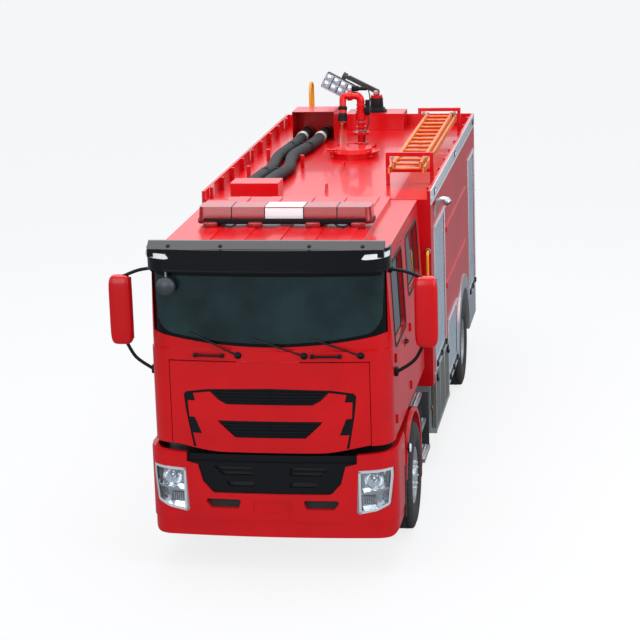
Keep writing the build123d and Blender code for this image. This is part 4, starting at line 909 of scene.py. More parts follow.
class FIRETRUCK_OT_light_bar(bpy.types.Operator):
    """White middle, black base and joints, and the small lamps under the bar"""

    bl_idname = "fire_truck.light_bar"
    bl_label = "Light bar"

    def execute(self, context):
        white = context.scene.fire_truck_light_bar.white
        middle, base, under, brackets = (bmesh.new() for _ in range(4))
        self.sleeve(middle, -white, white, 2.5, 3196)
        for x in (-white, white, -522, 522):
            self.sleeve(base, x - 4, x + 4, 3.2, 3196)
        for y0, y1 in ((1166, 1174), (1466, 1474)):
            slab(base, at(-806, y0, 3158), at(806, y1, 3214), 0.003)
        for x0, x1 in ((-874, -866), (866, 874)):
            slab(base, at(x0, 1235, 3158), at(x1, 1405, 3200), 0.003)
        for _, sign in SIDES:
            line = [at(sign * 806, 1170, 3179), at(sign * 852, 1186, 3179), at(sign * 870, 1236, 3179)]
            tube(base, smooth_line(line, 5), 0.006, 8)
        for x in (-735, -285, 285, 735):
            slab(under, at(x - 72, 1138, 3124), at(x + 72, 1196, 3182), 0.014)
            for k in range(5):
                pin(under, at(x - 48 + 24 * k, 1140, 3134), at(x - 48 + 24 * k, 1140, 3172), 0.006, 8)
        for x in (-560, 560):
            tube(brackets, smooth_line([at(x - 70, 1190, 3164), at(x - 20, 1176, 3136), at(x + 40, 1176, 3134),
                                        at(x + 80, 1190, 3160)], 5), 0.009, 8)
        keep(middle, "light_bar_middle", "cab", "louvred_white", 40)
        keep(base, "light_bar_base", "cab", "moulded_plastic", 40)
        keep(under, "light_bar_under_lamps", "cab", "red_lens")
        keep(brackets, "light_bar_cables", "cab", "seal_rubber")
        return {"FINISHED"}

    def sleeve(self, mesh, x0, x1, proud, low):
        """Band round the bar's tapered lens between two x."""
        def profile(off):
            return [(BAR_FRONT - off, low), (BAR_FRONT + 11.4 - off, BAR_TOP - 12),
                    (BAR_FRONT + 22 - off * 0.4, BAR_TOP + off * 0.9),
                    (BAR_REAR - 22 + off * 0.4, BAR_TOP + off * 0.9),
                    (BAR_REAR - 11.4 + off, BAR_TOP - 12), (BAR_REAR + off, low)]

        rows = []
        for x in (x0, x1):
            rows.append([mesh.verts.new(at(x, s, z)) for s, z in profile(proud)])
            rows.append([mesh.verts.new(at(x, s, z)) for s, z in profile(-1)])
        outer0, inner0, outer1, inner1 = rows
        for a, b in ((outer0, outer1), (inner1, inner0), (outer1, inner1), (inner0, outer0)):
            for k in range(5):
                mesh.faces.new((a[k], a[k + 1], b[k + 1], b[k]))
        for k in (0, 5):
            mesh.faces.new((outer0[k], outer1[k], inner1[k], inner0[k]))


# ------------------------------------------------------------------ body side: bands, shutters, flaps
BODY_SIDE = 1230                    # x of the body's sides
BODY_BACK = 8458                    # station just inside the body's back face
BAND_LOW, BAND_HIGH = 2976, 3114    # silver band along the deck's edge
# shutters on each side: front station, rear station, low, high
SHUTTERS = ((3400, 4470, 1100, 2630), (7500, 8320, 920, 2630), (4780, 5780, 560, 1250))


class BodySettings(bpy.types.PropertyGroup):
    """Bands and frames on the body."""

    frame: FloatProperty(name="Shutter frame", description="Width of the aluminium frame round a shutter, in mm",
                         default=34, min=10)
    lamp: FloatProperty(name="Clearance lamp", description="Length of a side clearance lamp, in mm",
                        default=120, min=40)


class FIRETRUCK_OT_body_bands(bpy.types.Operator):
    """Silver band along the roof rail, its clearance lamps, and the pale strips inside the rails"""

    bl_idname = "fire_truck.body_bands"
    bl_label = "Bands and clearance lamps"

    def execute(self, context):
        length = context.scene.fire_truck_body.lamp
        bands, bases, whites, reds = (bmesh.new() for _ in range(4))
        for _, sign in SIDES:
            slab(bands, at(sign * 1229, 3094, BAND_LOW), at(sign * 1235, 8456, BAND_HIGH), 0.002)
            for z in (BAND_LOW - 4, BAND_HIGH + 4):
                slab(bands, at(sign * 1228, 3092, z - 5), at(sign * 1239, BODY_BACK, z + 5), 0.003)
            for station in (3500, 5820, 8200):
                slab(bases, at(sign * BODY_SIDE, station - length / 2 - 14, 3014),
                     at(sign * 1243, station + length / 2 + 14, 3076), 0.006)
                slab(whites if station < 8000 else reds, at(sign * 1238, station - length / 2, 3024),
                     at(sign * 1247, station + length / 2, 3066), 0.006)
            for front, rear in ((3338, 3600), (5708, 5862), (8071, 8324)):
                slab(bands, at(sign * 1198.5, front, 2984), at(sign * 1200.5, rear, 3112), 0.0005)
        keep(bands, "rail_bands", "chassis", "band_silver")
        keep(bases, "clearance_lamp_bases", "chassis", "moulded_plastic")
        keep(whites, "clearance_lamps", "chassis", "white_lens")
        keep(reds, "rear_side_lamps", "chassis", "red_lens")
        return {"FINISHED"}


class FIRETRUCK_OT_shutters(bpy.types.Operator):
    """Frames, drip rails, bottom rails and lift bars of the roller shutters"""

    bl_idname = "fire_truck.shutters"
    bl_label = "Shutter frames"

    def execute(self, context):
        width = context.scene.fire_truck_body.frame
        frames, bars, locks = bmesh.new(), bmesh.new(), bmesh.new()
        for _, sign in SIDES:
            for front, rear, low, high in SHUTTERS:
                edge = sign * BODY_SIDE
                for s0, s1 in ((front - width, front + 2), (rear - 2, rear + width)):
                    slab(frames, at(edge - sign * 2, s0, low - width), at(edge + sign * 7, s1, high + width), 0.003)
                slab(frames, at(edge - sign * 2, front, high - 2), at(edge + sign * 7, rear, high + width), 0.003)
                slab(frames, at(edge - sign * 2, front, low - width), at(edge + sign * 7, rear, low + 2), 0.003)
                # drip rail over the frame
                slab(frames, at(edge - sign * 2, front - width - 14, high + width + 6),
                     at(edge + sign * 18, rear + width + 14, high + width + 20), 0.004)
                # bottom rail of the curtain, and the lift bar across it
                slab(frames, at(edge - sign * 9, front + 4, low + 4), at(edge - sign * 1, rear - 4, low + 74),
                     0.003)
                line = [at(edge + sign * 6, front + 26, low + 44), at(edge + sign * 6, rear - 26, low + 44)]
                tube(bars, line, 0.0105, 12)
                for station in (front + 60, (front + rear) / 2, rear - 60):
                    slab(locks, at(edge - sign * 4, station - 40, low + 6),
                         at(edge + sign * 24, station + 40, low + 66), 0.008)
                    slab(frames, at(edge - sign * 2, station + 48, low + 10),
                         at(edge + sign * 12, station + 110, low + 40), 0.003)
        # the same at the back
        for x0, x1 in ((-620 - width, -618), (618, 620 + width)):
            slab(frames, at(x0, BODY_BACK, 1150 - width), at(x1, 8467, 2630 + width), 0.003)
        slab(frames, at(-620, BODY_BACK, 2628), at(620, 8467, 2630 + width), 0.003)
        slab(frames, at(-620, BODY_BACK, 1150 - width), at(620, 8467, 1152), 0.003)
        slab(frames, at(-616, 8452, 1154), at(616, 8460, 1226), 0.003)
        slab(frames, at(-668, BODY_BACK, 2670), at(668, 8480, 2686), 0.004)
        tube(bars, [at(-590, 8466, 1192), at(590, 8466, 1192)], 0.0105, 12)
        for x in (-560, 0, 560):
            slab(locks, at(x - 26, 8456, 1174), at(x + 26, 8476, 1212), 0.005)
        keep(frames, "shutter_frames", "chassis", "band_silver")
        keep(bars, "shutter_lift_bars", "chassis", "moulded_plastic")
        keep(locks, "shutter_locks", "chassis", "moulded_plastic")
        return {"FINISHED"}


class FIRETRUCK_OT_step_flaps(bpy.types.Operator):
    """Frames, treads and latches of the two folding step flaps"""

    bl_idname = "fire_truck.step_flaps"
    bl_label = "Step flaps"

    def execute(self, context):
        for side, sign in SIDES:
            body = f"{side}_step_flap"
            frames, latches, treads = bmesh.new(), bmesh.new(), bmesh.new()

            def place(station, z):
                return at(sign * 1229, station, z)

            border(frames, rounded((3303, 403), (4717, 1072), 30), rounded((3330, 430), (4690, 1045), 22), place,
                   Vector((sign * 0.008, 0, 0)))
            for station in (3760, 4260):
                slab(frames, at(sign * 1229, station - 12, 430), at(sign * 1234, station + 12, 1045), 0.002)
            for station in (3420, 4600):
                slab(latches, at(sign * 1229, station - 55, 965), at(sign * 1247, station + 55, 1040), 0.008)
                slab(latches, at(sign * 1240, station - 38, 950), at(sign * 1257, station + 38, 986), 0.006)
            # rows of raised studs on the inner face, which is the step when it is down
            for station in range(3340, 4690, 45):
                for z in range(450, 1040, 48):
                    turn(treads, [(0, 0.009), (0.002, 0.008), (0.003, 0.004), (0.003, 0)],
                         at(sign * 1190, station, z), (-sign, 0, 0), 6)
            keep(frames, f"{body}_frame", body, "locker_aluminium")
            keep(latches, f"{body}_latches", body, "moulded_plastic")
            keep(treads, f"{body}_treads", body, "locker_aluminium")
        return {"FINISHED"}


class FIRETRUCK_OT_side_fittings(bpy.types.Operator):
    """Fender lamps, side markers, yellow grab handles, cab steps, mudguards, and dark sheets of painted shade behind
    the grille, intakes and crew steps
    """

    bl_idname = "fire_truck.side_fittings"
    bl_label = "Side fittings"

    def execute(self, context):
        lamps, bases, ambers, grabs, feet, treads, rubber, plates = (bmesh.new() for _ in range(8))
        for _, sign in SIDES:
            # six-sided side lamp on the fender
            turn(bases, [(0, 0.056), (0.012, 0.056), (0.016, 0.05)], at(sign * 1209, 885, 985), (sign, 0, 0), 6)
            turn(lamps, [(0.012, 0.048), (0.024, 0.046), (0.03, 0.036), (0.032, 0)], at(sign * 1209, 885, 985),
                 (sign, 0, 0), 6)
            for station, z in ((3250, 700), (5960, 690), (7420, 640)):
                slab(bases, at(sign * 1180, station - 42, z - 22), at(sign * 1192, station + 42, z + 22), 0.006)
                slab(ambers, at(sign * 1188, station - 34, z - 15), at(sign * 1199, station + 34, z + 15), 0.006)
            # grab handle on the body's front face, beside the crew door
            grab = [at(sign * 1196, 3090, 2060), at(sign * 1196, 3030, 2075), at(sign * 1196, 3012, 2130),
                    at(sign * 1196, 3012, 2400), at(sign * 1196, 3030, 2455), at(sign * 1196, 3090, 2470)]
            tube(grabs, smooth_line(grab, 6), 0.0155, 14)
            for z in (2060, 2470):
                turn(feet, [(0, 0.032), (0.006, 0.032), (0.008, 0.026)], at(sign * 1196, 3090, z), (0, -1, 0), 18)
            # treads of the crew steps: a folded plate with rows of drawn holes
            for low, reach in ((430, 1230), (720, 1190), (1000, 1150)):
                slab(treads, at(sign * 1032, 2114, low + 40), at(sign * (reach - 2), 2636, low + 44), 0.0015)
                slab(treads, at(sign * (reach - 1), 2114, low + 4), at(sign * (reach + 1.5), 2636, low + 44), 0.001)
                for station in range(2140, 2630, 36):
                    for x in range(1052, reach - 10, 34):
                        turn(treads, [(0, 0.0125), (0.0035, 0.0085), (0.004, 0.0045), (0.001, 0.004), (0.001, 0)],
                             at(sign * x, station, low + 43.5), (0, 0, 1), 8)
            # bright step plate, and a dark liner behind the bumper's corner that also stands in for the shade there
            slab(plates, at(sign * 1010, 708, 452), at(sign * 1190, 728, 470), 0.003)
            slab(plates, at(sign * 1010, 712, 470), at(sign * 1190, 720, 620), 0.003)
            for x in range(1035, 1180, 30):
                for z in range(490, 610, 28):
                    turn(plates, [(0, 0.010), (0.003, 0.007), (0.003, 0)], at(sign * x, 720, z), (0, 1, 0), 8)
            slab(rubber, at(sign * 930, 7375, 300), at(sign * 1200, 7383, 640), 0.003)
            # mudguards before and behind the front wheel, and the dark well behind the crew steps, whose walls are
            # painted shade
            slab(rubber, at(sign * 930, 2045, 300), at(sign * 1205, 2053, 1010), 0.003)
            slab(rubber, at(sign * 520, 700, 420), at(sign * 1196, 708, 1094), 0.003)
            slab(rubber, at(sign * 1130, 640, 345), at(sign * 1207, 700, 880), 0.01)
            slab(rubber, at(sign * 1002, 2112, 440), at(sign * 1008, 2638, 1040), 0.002)
            slab(rubber, at(sign * 1006, 2100, 400), at(sign * 1205, 2108, 1044), 0.002)
            # cover under the cab's corner, from the bumper back to the mudguard: a dark sheet of painted shade in the
            # gap
            slab(rubber, at(sign * 520, 110, 1086), at(sign * 1150, 704, 1094), 0.003)
            slab(rubber, at(sign * 1006, 2640, 400), at(sign * 1222, 2648, 1044), 0.002)
        # guards behind the grille and the bumper's intakes, and the cooler before the engine: dark sheets that also
        # stand in for the shade in those openings
        wrap(rubber, "bumper", [(-700, 604, 770), (700, 604, 770)], 64, 5)
        wrap(rubber, "bumper", [(-700, 776, 1072), (700, 776, 1072)], 72, 5)
        slab(rubber, at(-372, 560, 600), at(372, 600, 1150), 0.006)
        slab(rubber, at(-520, 604, 860), at(520, 612, 1150), 0.003)
        self.scene_lamp(LEFT, plates, rubber)
        keep(lamps, "fender_lamps", "chassis", "white_lens")
        keep(bases, "side_lamp_bases", "chassis", "moulded_plastic")
        keep(ambers, "side_markers", "chassis", "orange_lens")
        keep(grabs, "body_grab_handles", "chassis", "rail_yellow", 60)
        keep(feet, "grab_handle_feet", "chassis", "zinc")
        keep(treads, "crew_step_treads", "chassis", "locker_aluminium")
        keep(plates, "bumper_step_plates", "chassis", "locker_aluminium")
        # real mudflaps and dark sheets of painted shade, kept as one piece
        keep(rubber, "mudflaps_and_shade_sheets", "chassis", "hose_rubber")
        return {"FINISHED"}


    def scene_lamp(self, sign, arms, faces):
        """Swan-necked side lamp at the top of the locker's front post."""
        line = [at(sign * x, 3420, z)
                for x, z in ((1231, 2780), (1238, 2880), (1274, 2946), (1330, 2968), (1372, 2958))]
        tube(arms, smooth_line(line, 6), [0.02 + 0.0006 * k for k in range(25)], 14)
        turn(arms, [(-0.03, 0.02), (-0.02, 0.036), (0, 0.043), (0.03, 0.045), (0.034, 0.043)],
             at(sign * 1366, 3420, 2958), (sign * 0.5, 0, -0.85), 20)
        turn(faces, [(0.033, 0.042), (0.044, 0.038), (0.05, 0.02), (0.052, 0)], at(sign * 1366, 3420, 2958),
             (sign * 0.5, 0, -0.85), 20)


# ------------------------------------------------------------------ back of the truck
class FIRETRUCK_OT_back(bpy.types.Operator):
    """Rear lamps, plate panel, reflectors, and the ladder's sleeves and treads"""

    bl_idname = "fire_truck.back"
    bl_label = "Back"

    def execute(self, context):
        panels, reds, ambers, whites, plate, sleeves, grips = (bmesh.new() for _ in range(7))
        for _, sign in SIDES:
            slab(panels, at(sign * 770, 8528, 708), at(sign * 1140, 8534, 852), 0.004)
            for colour, x0, x1 in ((reds, 785, 895), (ambers, 905, 1005), (whites, 1015, 1065), (reds, 1075, 1130)):
                slab(colour, at(sign * x0, 8532, 722), at(sign * x1, 8544, 838), 0.008)
            for z in (1300, 1900, 2500):
                slab(reds, at(sign * 1100, 8459, z - 22), at(sign * 1200, 8466, z + 22), 0.004)
            slab(reds, at(sign * 1020, 8555, 480), at(sign * 1130, 8559, 520), 0.002)
        slab(plate, at(-260, BODY_BACK, 985), at(260, 8463, 1105), 0.003)
        slab(panels, at(-275, 8456, 972), at(275, 8460, 1118), 0.003)
        # ladder on the left of the back face as seen from behind: yellow hoops, ribbed treads
        for x in (-880, -470):
            hoop = [at(x, 8520, z) for z in (3110, 3250, 3390)]
            hoop += [at(x, 8520 - 100 + 100 * cos(a), 3440 + 100 * sin(a))
                     for a in (radians(d) for d in range(15, 90, 15))]
            hoop += [at(x, 8420, 3540), at(x, 8400, 3540)]
            hoop += [at(x, 8400 - 100 * sin(a), 3440 + 100 * cos(a)) for a in (radians(d) for d in range(15, 90, 15))]
            hoop += [at(x, 8300, z) for z in (3390, 3250, 3000)]
            tube(sleeves, hoop, 0.0182, 14)
        for z in range(960, 2960, 300):
            for k in range(20):
                x = -858 + 19.5 * k
                pin(grips, at(x, 8520, z), at(x + 9, 8520, z), 0.0155, 10)
        keep(panels, "rear_lamp_panels", "chassis", "moulded_plastic")
        keep(reds, "rear_red_lamps", "chassis", "red_lens")
        keep(ambers, "rear_turn_lamps", "chassis", "orange_lens")
        keep(whites, "reversing_lamps", "chassis", "white_lens")
        keep(plate, "blank_plate", "chassis", "band_silver")
        keep(sleeves, "yellow_hoops", "chassis", "rail_yellow", 60)
        keep(grips, "rear_ladder_grips", "chassis", "hose_rubber")
        return {"FINISHED"}


# ------------------------------------------------------------------ deck gear
class DeckSettings(bpy.types.PropertyGroup):
    """Hoses and clamps on the deck."""

    rib: FloatProperty(name="Hose rib", description="Spacing of the suction hoses' wire ribs", default=0.03,
                       min=0.01, unit="LENGTH")
    clamps: IntProperty(name="Manhole clamps", description="Swing clamps round the manhole", default=4, min=2)


HOSE_Z = 3043.3                     # height of the hoses' middle
HOSE_RIDGE, HOSE_WALL, HOSE_VALLEY = 0.0675, 0.0655, 0.0635
# middle of each suction hose: x and station, front end first
HOSES = (((-850, 3560), (-850, 4150), (-795, 4900), (-850, 5700), (-800, 6500), (-790, 7580)),
         ((-670, 3560), (-670, 4150), (-600, 4900), (-680, 5700), (-590, 6500), (-550, 7580)))


class FIRETRUCK_OT_hoses(bpy.types.Operator):
    """Ribbed suction hoses with couplings, and the straps that hold them"""

    bl_idname = "fire_truck.hoses"
    bl_label = "Suction hoses"

    def execute(self, context):
        rib = context.scene.fire_truck_deck.rib
        hoses, ends, straps = bmesh.new(), bmesh.new(), bmesh.new()
        for route in HOSES:
            points = [at(x, station, HOSE_Z) for x, station in route]
            line = smooth_line(points, 60)
            lengths = [0.0]
            for a, b in zip(line, line[1:]):
                lengths.append(lengths[-1] + (b - a).length)
            count = int(lengths[-1] / rib)
            ribbed, sizes, k = [], [], 0
            for n in range(count * 4 + 1):
                want = lengths[-1] * n / (count * 4)
                while k < len(line) - 2 and lengths[k + 1] < want:
                    k += 1
                share = (want - lengths[k]) / (lengths[k + 1] - lengths[k])
                ribbed.append(line[k].lerp(line[k + 1], share))
                sizes.append(HOSE_RIDGE if n % 4 == 0 else HOSE_WALL if n % 2 else HOSE_VALLEY)
            tube(hoses, ribbed, sizes, 20)
            for end, run in ((points[0], points[1] - points[0]), (points[-1], points[-2] - points[-1])):
                turn(ends, [(0.004, 0), (0.004, 0.05), (0.01, 0.064), (0.05, 0.0676), (0.09, 0.0676), (0.1, 0.067)],
                     end, run, 28)
            for k in range(3, len(line) - 1):
                # bright clamp rings where the hose meets the rear box
                if line[k].y > FRONT_Y + 7.02 and line[k - 1].y <= FRONT_Y + 7.02:
                    turn(ends, [(0, 0.066), (0.004, 0.074), (0.03, 0.0755), (0.034, 0.07), (0.06, 0.07),
                                (0.064, 0.0755), (0.09, 0.074), (0.094, 0.066)],
                         line[k], line[k + 1] - line[k - 1], 32)
        piece = keep(hoses, "suction_hoses_ribbed", "chassis", "hose_rubber", 80)
        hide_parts("suction_hoses")
        keep(ends, "hose_couplings", "chassis", "zinc")
        for station, x0, x1 in ((4560, -905, -560), (6320, -890, -520)):
            line = [at(x0, station, 2974), at(x0 + 6, station, 3060), at(x0 + 60, station, 3108),
                    at(x1 - 60, station, 3108),
                    at(x1 - 6, station, 3060), at(x1, station, 2974)]
            points = smooth_line(line, 6)
            rows = [[straps.verts.new(p + Vector((0, off, 0))) for p in points] for off in (-0.02, 0.02)]
            for k in range(len(points) - 1):
                straps.faces.new((rows[0][k], rows[0][k + 1], rows[1][k + 1], rows[1][k]))
        bmesh.ops.solidify(straps, geom=straps.faces[:], thickness=0.003)
        keep(straps, "hose_straps", "chassis", "seal_rubber")
        return {"FINISHED"}


class FIRETRUCK_OT_manhole(bpy.types.Operator):
    """Swing clamps and lid handle of the tank manhole"""

    bl_idname = "fire_truck.manhole"
    bl_label = "Manhole"

    def execute(self, context):
        count = context.scene.fire_truck_deck.clamps
        lid, neck = bmesh.new(), bmesh.new()
        hub = at(0, 6100, 0)
        for k in range(count):
            angle = radians(45) + 2 * pi * k / count
            out = Vector((cos(angle), sin(angle), 0))
            foot = hub + out * 0.322 + Vector((0, 0, 3.0))
            pin(neck, foot, foot + Vector((0, 0, 0.085)), 0.008, 12)
            turn(lid, [(0, 0.022), (0.012, 0.022), (0.014, 0.012), (0.03, 0.012), (0.034, 0)],
                 foot + Vector((0, 0, 0.062)), (0, 0, 1), 6)
            arm0, arm1 = foot + Vector((0, 0, 0.055)), foot - out * 0.07 + Vector((0, 0, 0.055))
            pin(lid, arm0, arm1, 0.0095, 10)
            across = Vector((-out.y, out.x, 0))
            pin(neck, foot - across * 0.03 + Vector((0, 0, 0.004)), foot + across * 0.03 + Vector((0, 0, 0.004)),
                0.011, 12)
        handle = [at(-110, 6290, 3046), at(-95, 6290, 3096), at(95, 6290, 3096), at(110, 6290, 3046)]
        tube(lid, smooth_line(handle, 6), 0.0085, 10)
        keep(lid, "manhole_lid_fittings", "manhole_lid", "red_enamel")
        keep(neck, "manhole_clamps", "chassis", "red_enamel")
        return {"FINISHED"}


class FIRETRUCK_OT_monitor(bpy.types.Operator):
    """Flange bolts, drive boxes, cables and the black nozzle of the roof monitor"""

    bl_idname = "fire_truck.monitor"
    bl_label = "Monitor"

    def execute(self, context):
        foot, head, gear, barrel, cable = (bmesh.new() for _ in range(5))
        hub = at(-40, 7020, 0)
        for z, radius, count in ((3.1185, 0.085, 8), (2.9845, 0.076, 6)):
            for k in range(count):
                angle = 2 * pi * (k + 0.5) / count
                seat = hub + Vector((radius * cos(angle), radius * sin(angle), z))
                turn(foot, [(0, 0.011), (0.009, 0.011), (0.01, 0)], seat, (0, 0, 1), 6)
        for z in (3.13, 3.24):
            turn(foot, [(0, 0.0445), (0.004, 0.05), (0.012, 0.05), (0.016, 0.0445)], hub + Vector((0, 0, z)),
                 (0, 0, 1), 28)
        # swivel collar and drive boxes on the head
        for z in (3.362, 3.40, 3.44):
            turn(head, [(0, 0.0485), (0.004, 0.056), (0.02, 0.056), (0.024, 0.0485)], hub + Vector((0, 0, z)),
                 (0, 0, 1), 28)
        slab(gear, at(14, 6966, 3330), at(74, 7070, 3440), 0.01)
        turn(gear, [(0, 0.03), (0.07, 0.03), (0.078, 0.024), (0.08, 0)], at(46, 7018, 3438), (0, 0, 1), 20)
        slab(gear, at(-150, 6990, 3624), at(-60, 7050, 3690), 0.01)
        turn(gear, [(0, 0.024), (0.1, 0.024), (0.106, 0.018), (0.108, 0)], at(-58, 7020, 3656), (1, 0, 0), 20)
        line = [at(60, 7040, 3440), at(70, 7050, 3560), at(30, 7040, 3690), at(-60, 7030, 3700)]
        tube(cable, smooth_line(line, 8), 0.007, 8)
        line = [at(46, 6990, 3335), at(60, 6990, 3240), at(20, 6985, 3120), at(0, 6980, 2980)]
        tube(cable, smooth_line(line, 8), 0.007, 8)
        start, tip = at(-260, 6980, 3420), at(-260, 6935, 3250)
        run = (tip - start).normalized()
        turn(barrel, [(-0.02, 0.0545), (0.02, 0.056), (0.03, 0.05), (0.06, 0.05), (0.07, 0.057), (0.1, 0.057),
                      (0.11, 0.0535), (0.15, 0.0565), (0.168, 0.0565), (0.168, 0.043), (0.12, 0.036), (0.12, 0)],
             start, run, 32)
        for k in range(12):
            angle = 2 * pi * k / 12
            side = run.orthogonal().normalized()
            out = side * cos(angle) + run.cross(side) * sin(angle)
            pin(barrel, start + out * 0.0555 + run * 0.114, start + out * 0.0555 + run * 0.166, 0.0045, 8)
        keep(foot, "monitor_bolts", "chassis", "zinc")
        keep(head, "monitor_collars", "monitor_head", "red_enamel")
        keep(gear, "monitor_drives", "monitor_head", "moulded_plastic")
        keep(cable, "monitor_cables", "monitor_head", "seal_rubber")
        keep(barrel, "monitor_nozzle", "monitor_barrel", "moulded_plastic")
        return {"FINISHED"}


TOWER = 8220                        # station of the lamp tower's mast


class FIRETRUCK_OT_light_tower(bpy.types.Operator):
    """Flood lamps' frame, faces and cooling ribs, and the tower's foot"""

    bl_idname = "fire_truck.light_tower"
    bl_label = "Light tower"

    def execute(self, context):
        foot, cells, rim, ribs, hinge = (bmesh.new() for _ in range(5))
        tip = at(-353.2, TOWER, 3627.8)
        along = Vector((-cos(radians(28)), 0, sin(radians(28))))
        # lamp box axes: u towards the arm's foot, v square to it, both in the plane of the face
        u, v = -along, Vector((0, -1, 0)).cross(-along)
        centre = tip + Vector((0, -0.052, 0)) + u * -0.06 + v * -0.14
        face = centre + Vector((0, -0.09, 0))
        for column in range(4):
            for row in range(2):
                middle = face + u * (-0.148 + 0.0987 * column) + v * (-0.046 + 0.092 * row)
                place = Matrix((u, v, Vector((0, -1, 0)))).transposed().to_4x4()
                made = bmesh.ops.create_cube(cells, size=1, matrix=Matrix.Translation(middle - Vector((0, -0.002, 0)))
                                             @ place @ Matrix.Diagonal((0.088, 0.082, 0.008, 1)))
                edges = {e for vert in made["verts"] for e in vert.link_edges}
                bmesh.ops.bevel(cells, geom=list(edges), offset=0.003, segments=2, affect="EDGES", profile=0.5)
        for a, b in ((-0.203, -0.192), (0.192, 0.203)):
            self.bar(rim, face, u, v, (a, -0.1), (b, 0.1))
        for a, b in ((-0.1, -0.09), (0.09, 0.1), (-0.004, 0.004)):
            self.bar(rim, face, u, v, (-0.203, a), (0.203, b))
        for k in range(11):
            shift = u * (-0.17 + 0.034 * k)
            pin(ribs, centre + shift + v * -0.085 + Vector((0, -0.012, 0)),
                centre + shift + v * 0.085 + Vector((0, -0.012, 0)), 0.008, 8)
        turn(foot, [(0, 0.13), (0.02, 0.13), (0.03, 0.11), (0.05, 0.105), (0.06, 0.085), (0.17, 0.082),
                    (0.18, 0.078)],
             at(0, TOWER, 3190), (0, 0, 1), 36)
        for k in range(8):
            angle = 2 * pi * k / 8
            turn(foot, [(0, 0.009), (0.007, 0.009), (0.008, 0)],
                 at(0, TOWER, 3210) + Vector((0.119 * cos(angle), 0.119 * sin(angle), 0)), (0, 0, 1), 6)
        turn(hinge, [(0, 0.03), (0.01, 0.03), (0.012, 0.02), (0.016, 0.018), (0.017, 0)], at(0, 8170, 3440),
             (0, -1, 0), 20)
        keep(cells, "flood_lamp_faces", "lamp_head", "flood_face")
        keep(rim, "flood_lamp_rims", "lamp_head", "locker_aluminium")
        keep(ribs, "flood_lamp_ribs", "lamp_head", "chassis_paint")
        keep(foot, "tower_foot", "chassis", "moulded_plastic")
        keep(hinge, "tower_hinge_caps", "chassis", "zinc")
        return {"FINISHED"}

    def bar(self, mesh, face, u, v, low, high):
        """Thin bar on the lamp's face between two (u, v) corners."""
        corners = [face + u * a + v * b for a, b in ((low[0], low[1]), (high[0], low[1]), (high[0], high[1]),
                                                     (low[0], high[1]))]
        prism(mesh, [c + Vector((0, -0.0085, 0)) for c in corners], Vector((0, 0.0095, 0)))


class FIRETRUCK_OT_deck_ladder(bpy.types.Operator):
    """Feet, rung collars and clamps of the deck ladder"""

    bl_idname = "fire_truck.deck_ladder"
    bl_label = "Deck ladder"

    def execute(self, context):
        feet, collars, clamps = bmesh.new(), bmesh.new(), bmesh.new()
        for x0, x1, z, s0, s1 in ((680, 1085, 3160, 3900, 7700), (720, 1045, 3205.3, 3960, 7560)):
            for x in (x0, x1 - 28):
                for station in (s0, s1 - 46):
                    slab(feet, at(x - 3, station + 2, z + 1), at(x + 31, station + 44, z + 65), 0.004)
            for station in range(s0 + 140, s1 - 60, 280):
                for x in (x0 + 28, x1 - 40):
                    turn(collars, [(0, 0.0145), (0.001, 0.02), (0.008, 0.02), (0.012, 0.0145)],
                         at(x, station, z + 31), (1, 0, 0), 14)
        for station in (4220, 7480):
            for x in (672, 1058):
                slab(clamps, at(x, station - 16, 3272), at(x + 36, station + 16, 3300), 0.004)
                pin(clamps, at(x + 18, station, 3205), at(x + 18, station, 3276), 0.006, 10)
        keep(feet, "ladder_feet", "chassis", "hose_rubber")
        keep(collars, "ladder_rung_collars", "chassis", "ladder_orange")
        keep(clamps, "ladder_clamps", "chassis", "zinc")
        return {"FINISHED"}


# ------------------------------------------------------------------ seats
class SeatSettings(bpy.types.PropertyGroup):
    """Cushion shape."""

    channel: FloatProperty(name="Channel depth", description="Depth of the sewn channels, in mm", default=9, min=0)
    crown: FloatProperty(name="Crown", description="How far a cushion rises in its middle, in mm", default=26,
                         min=0)


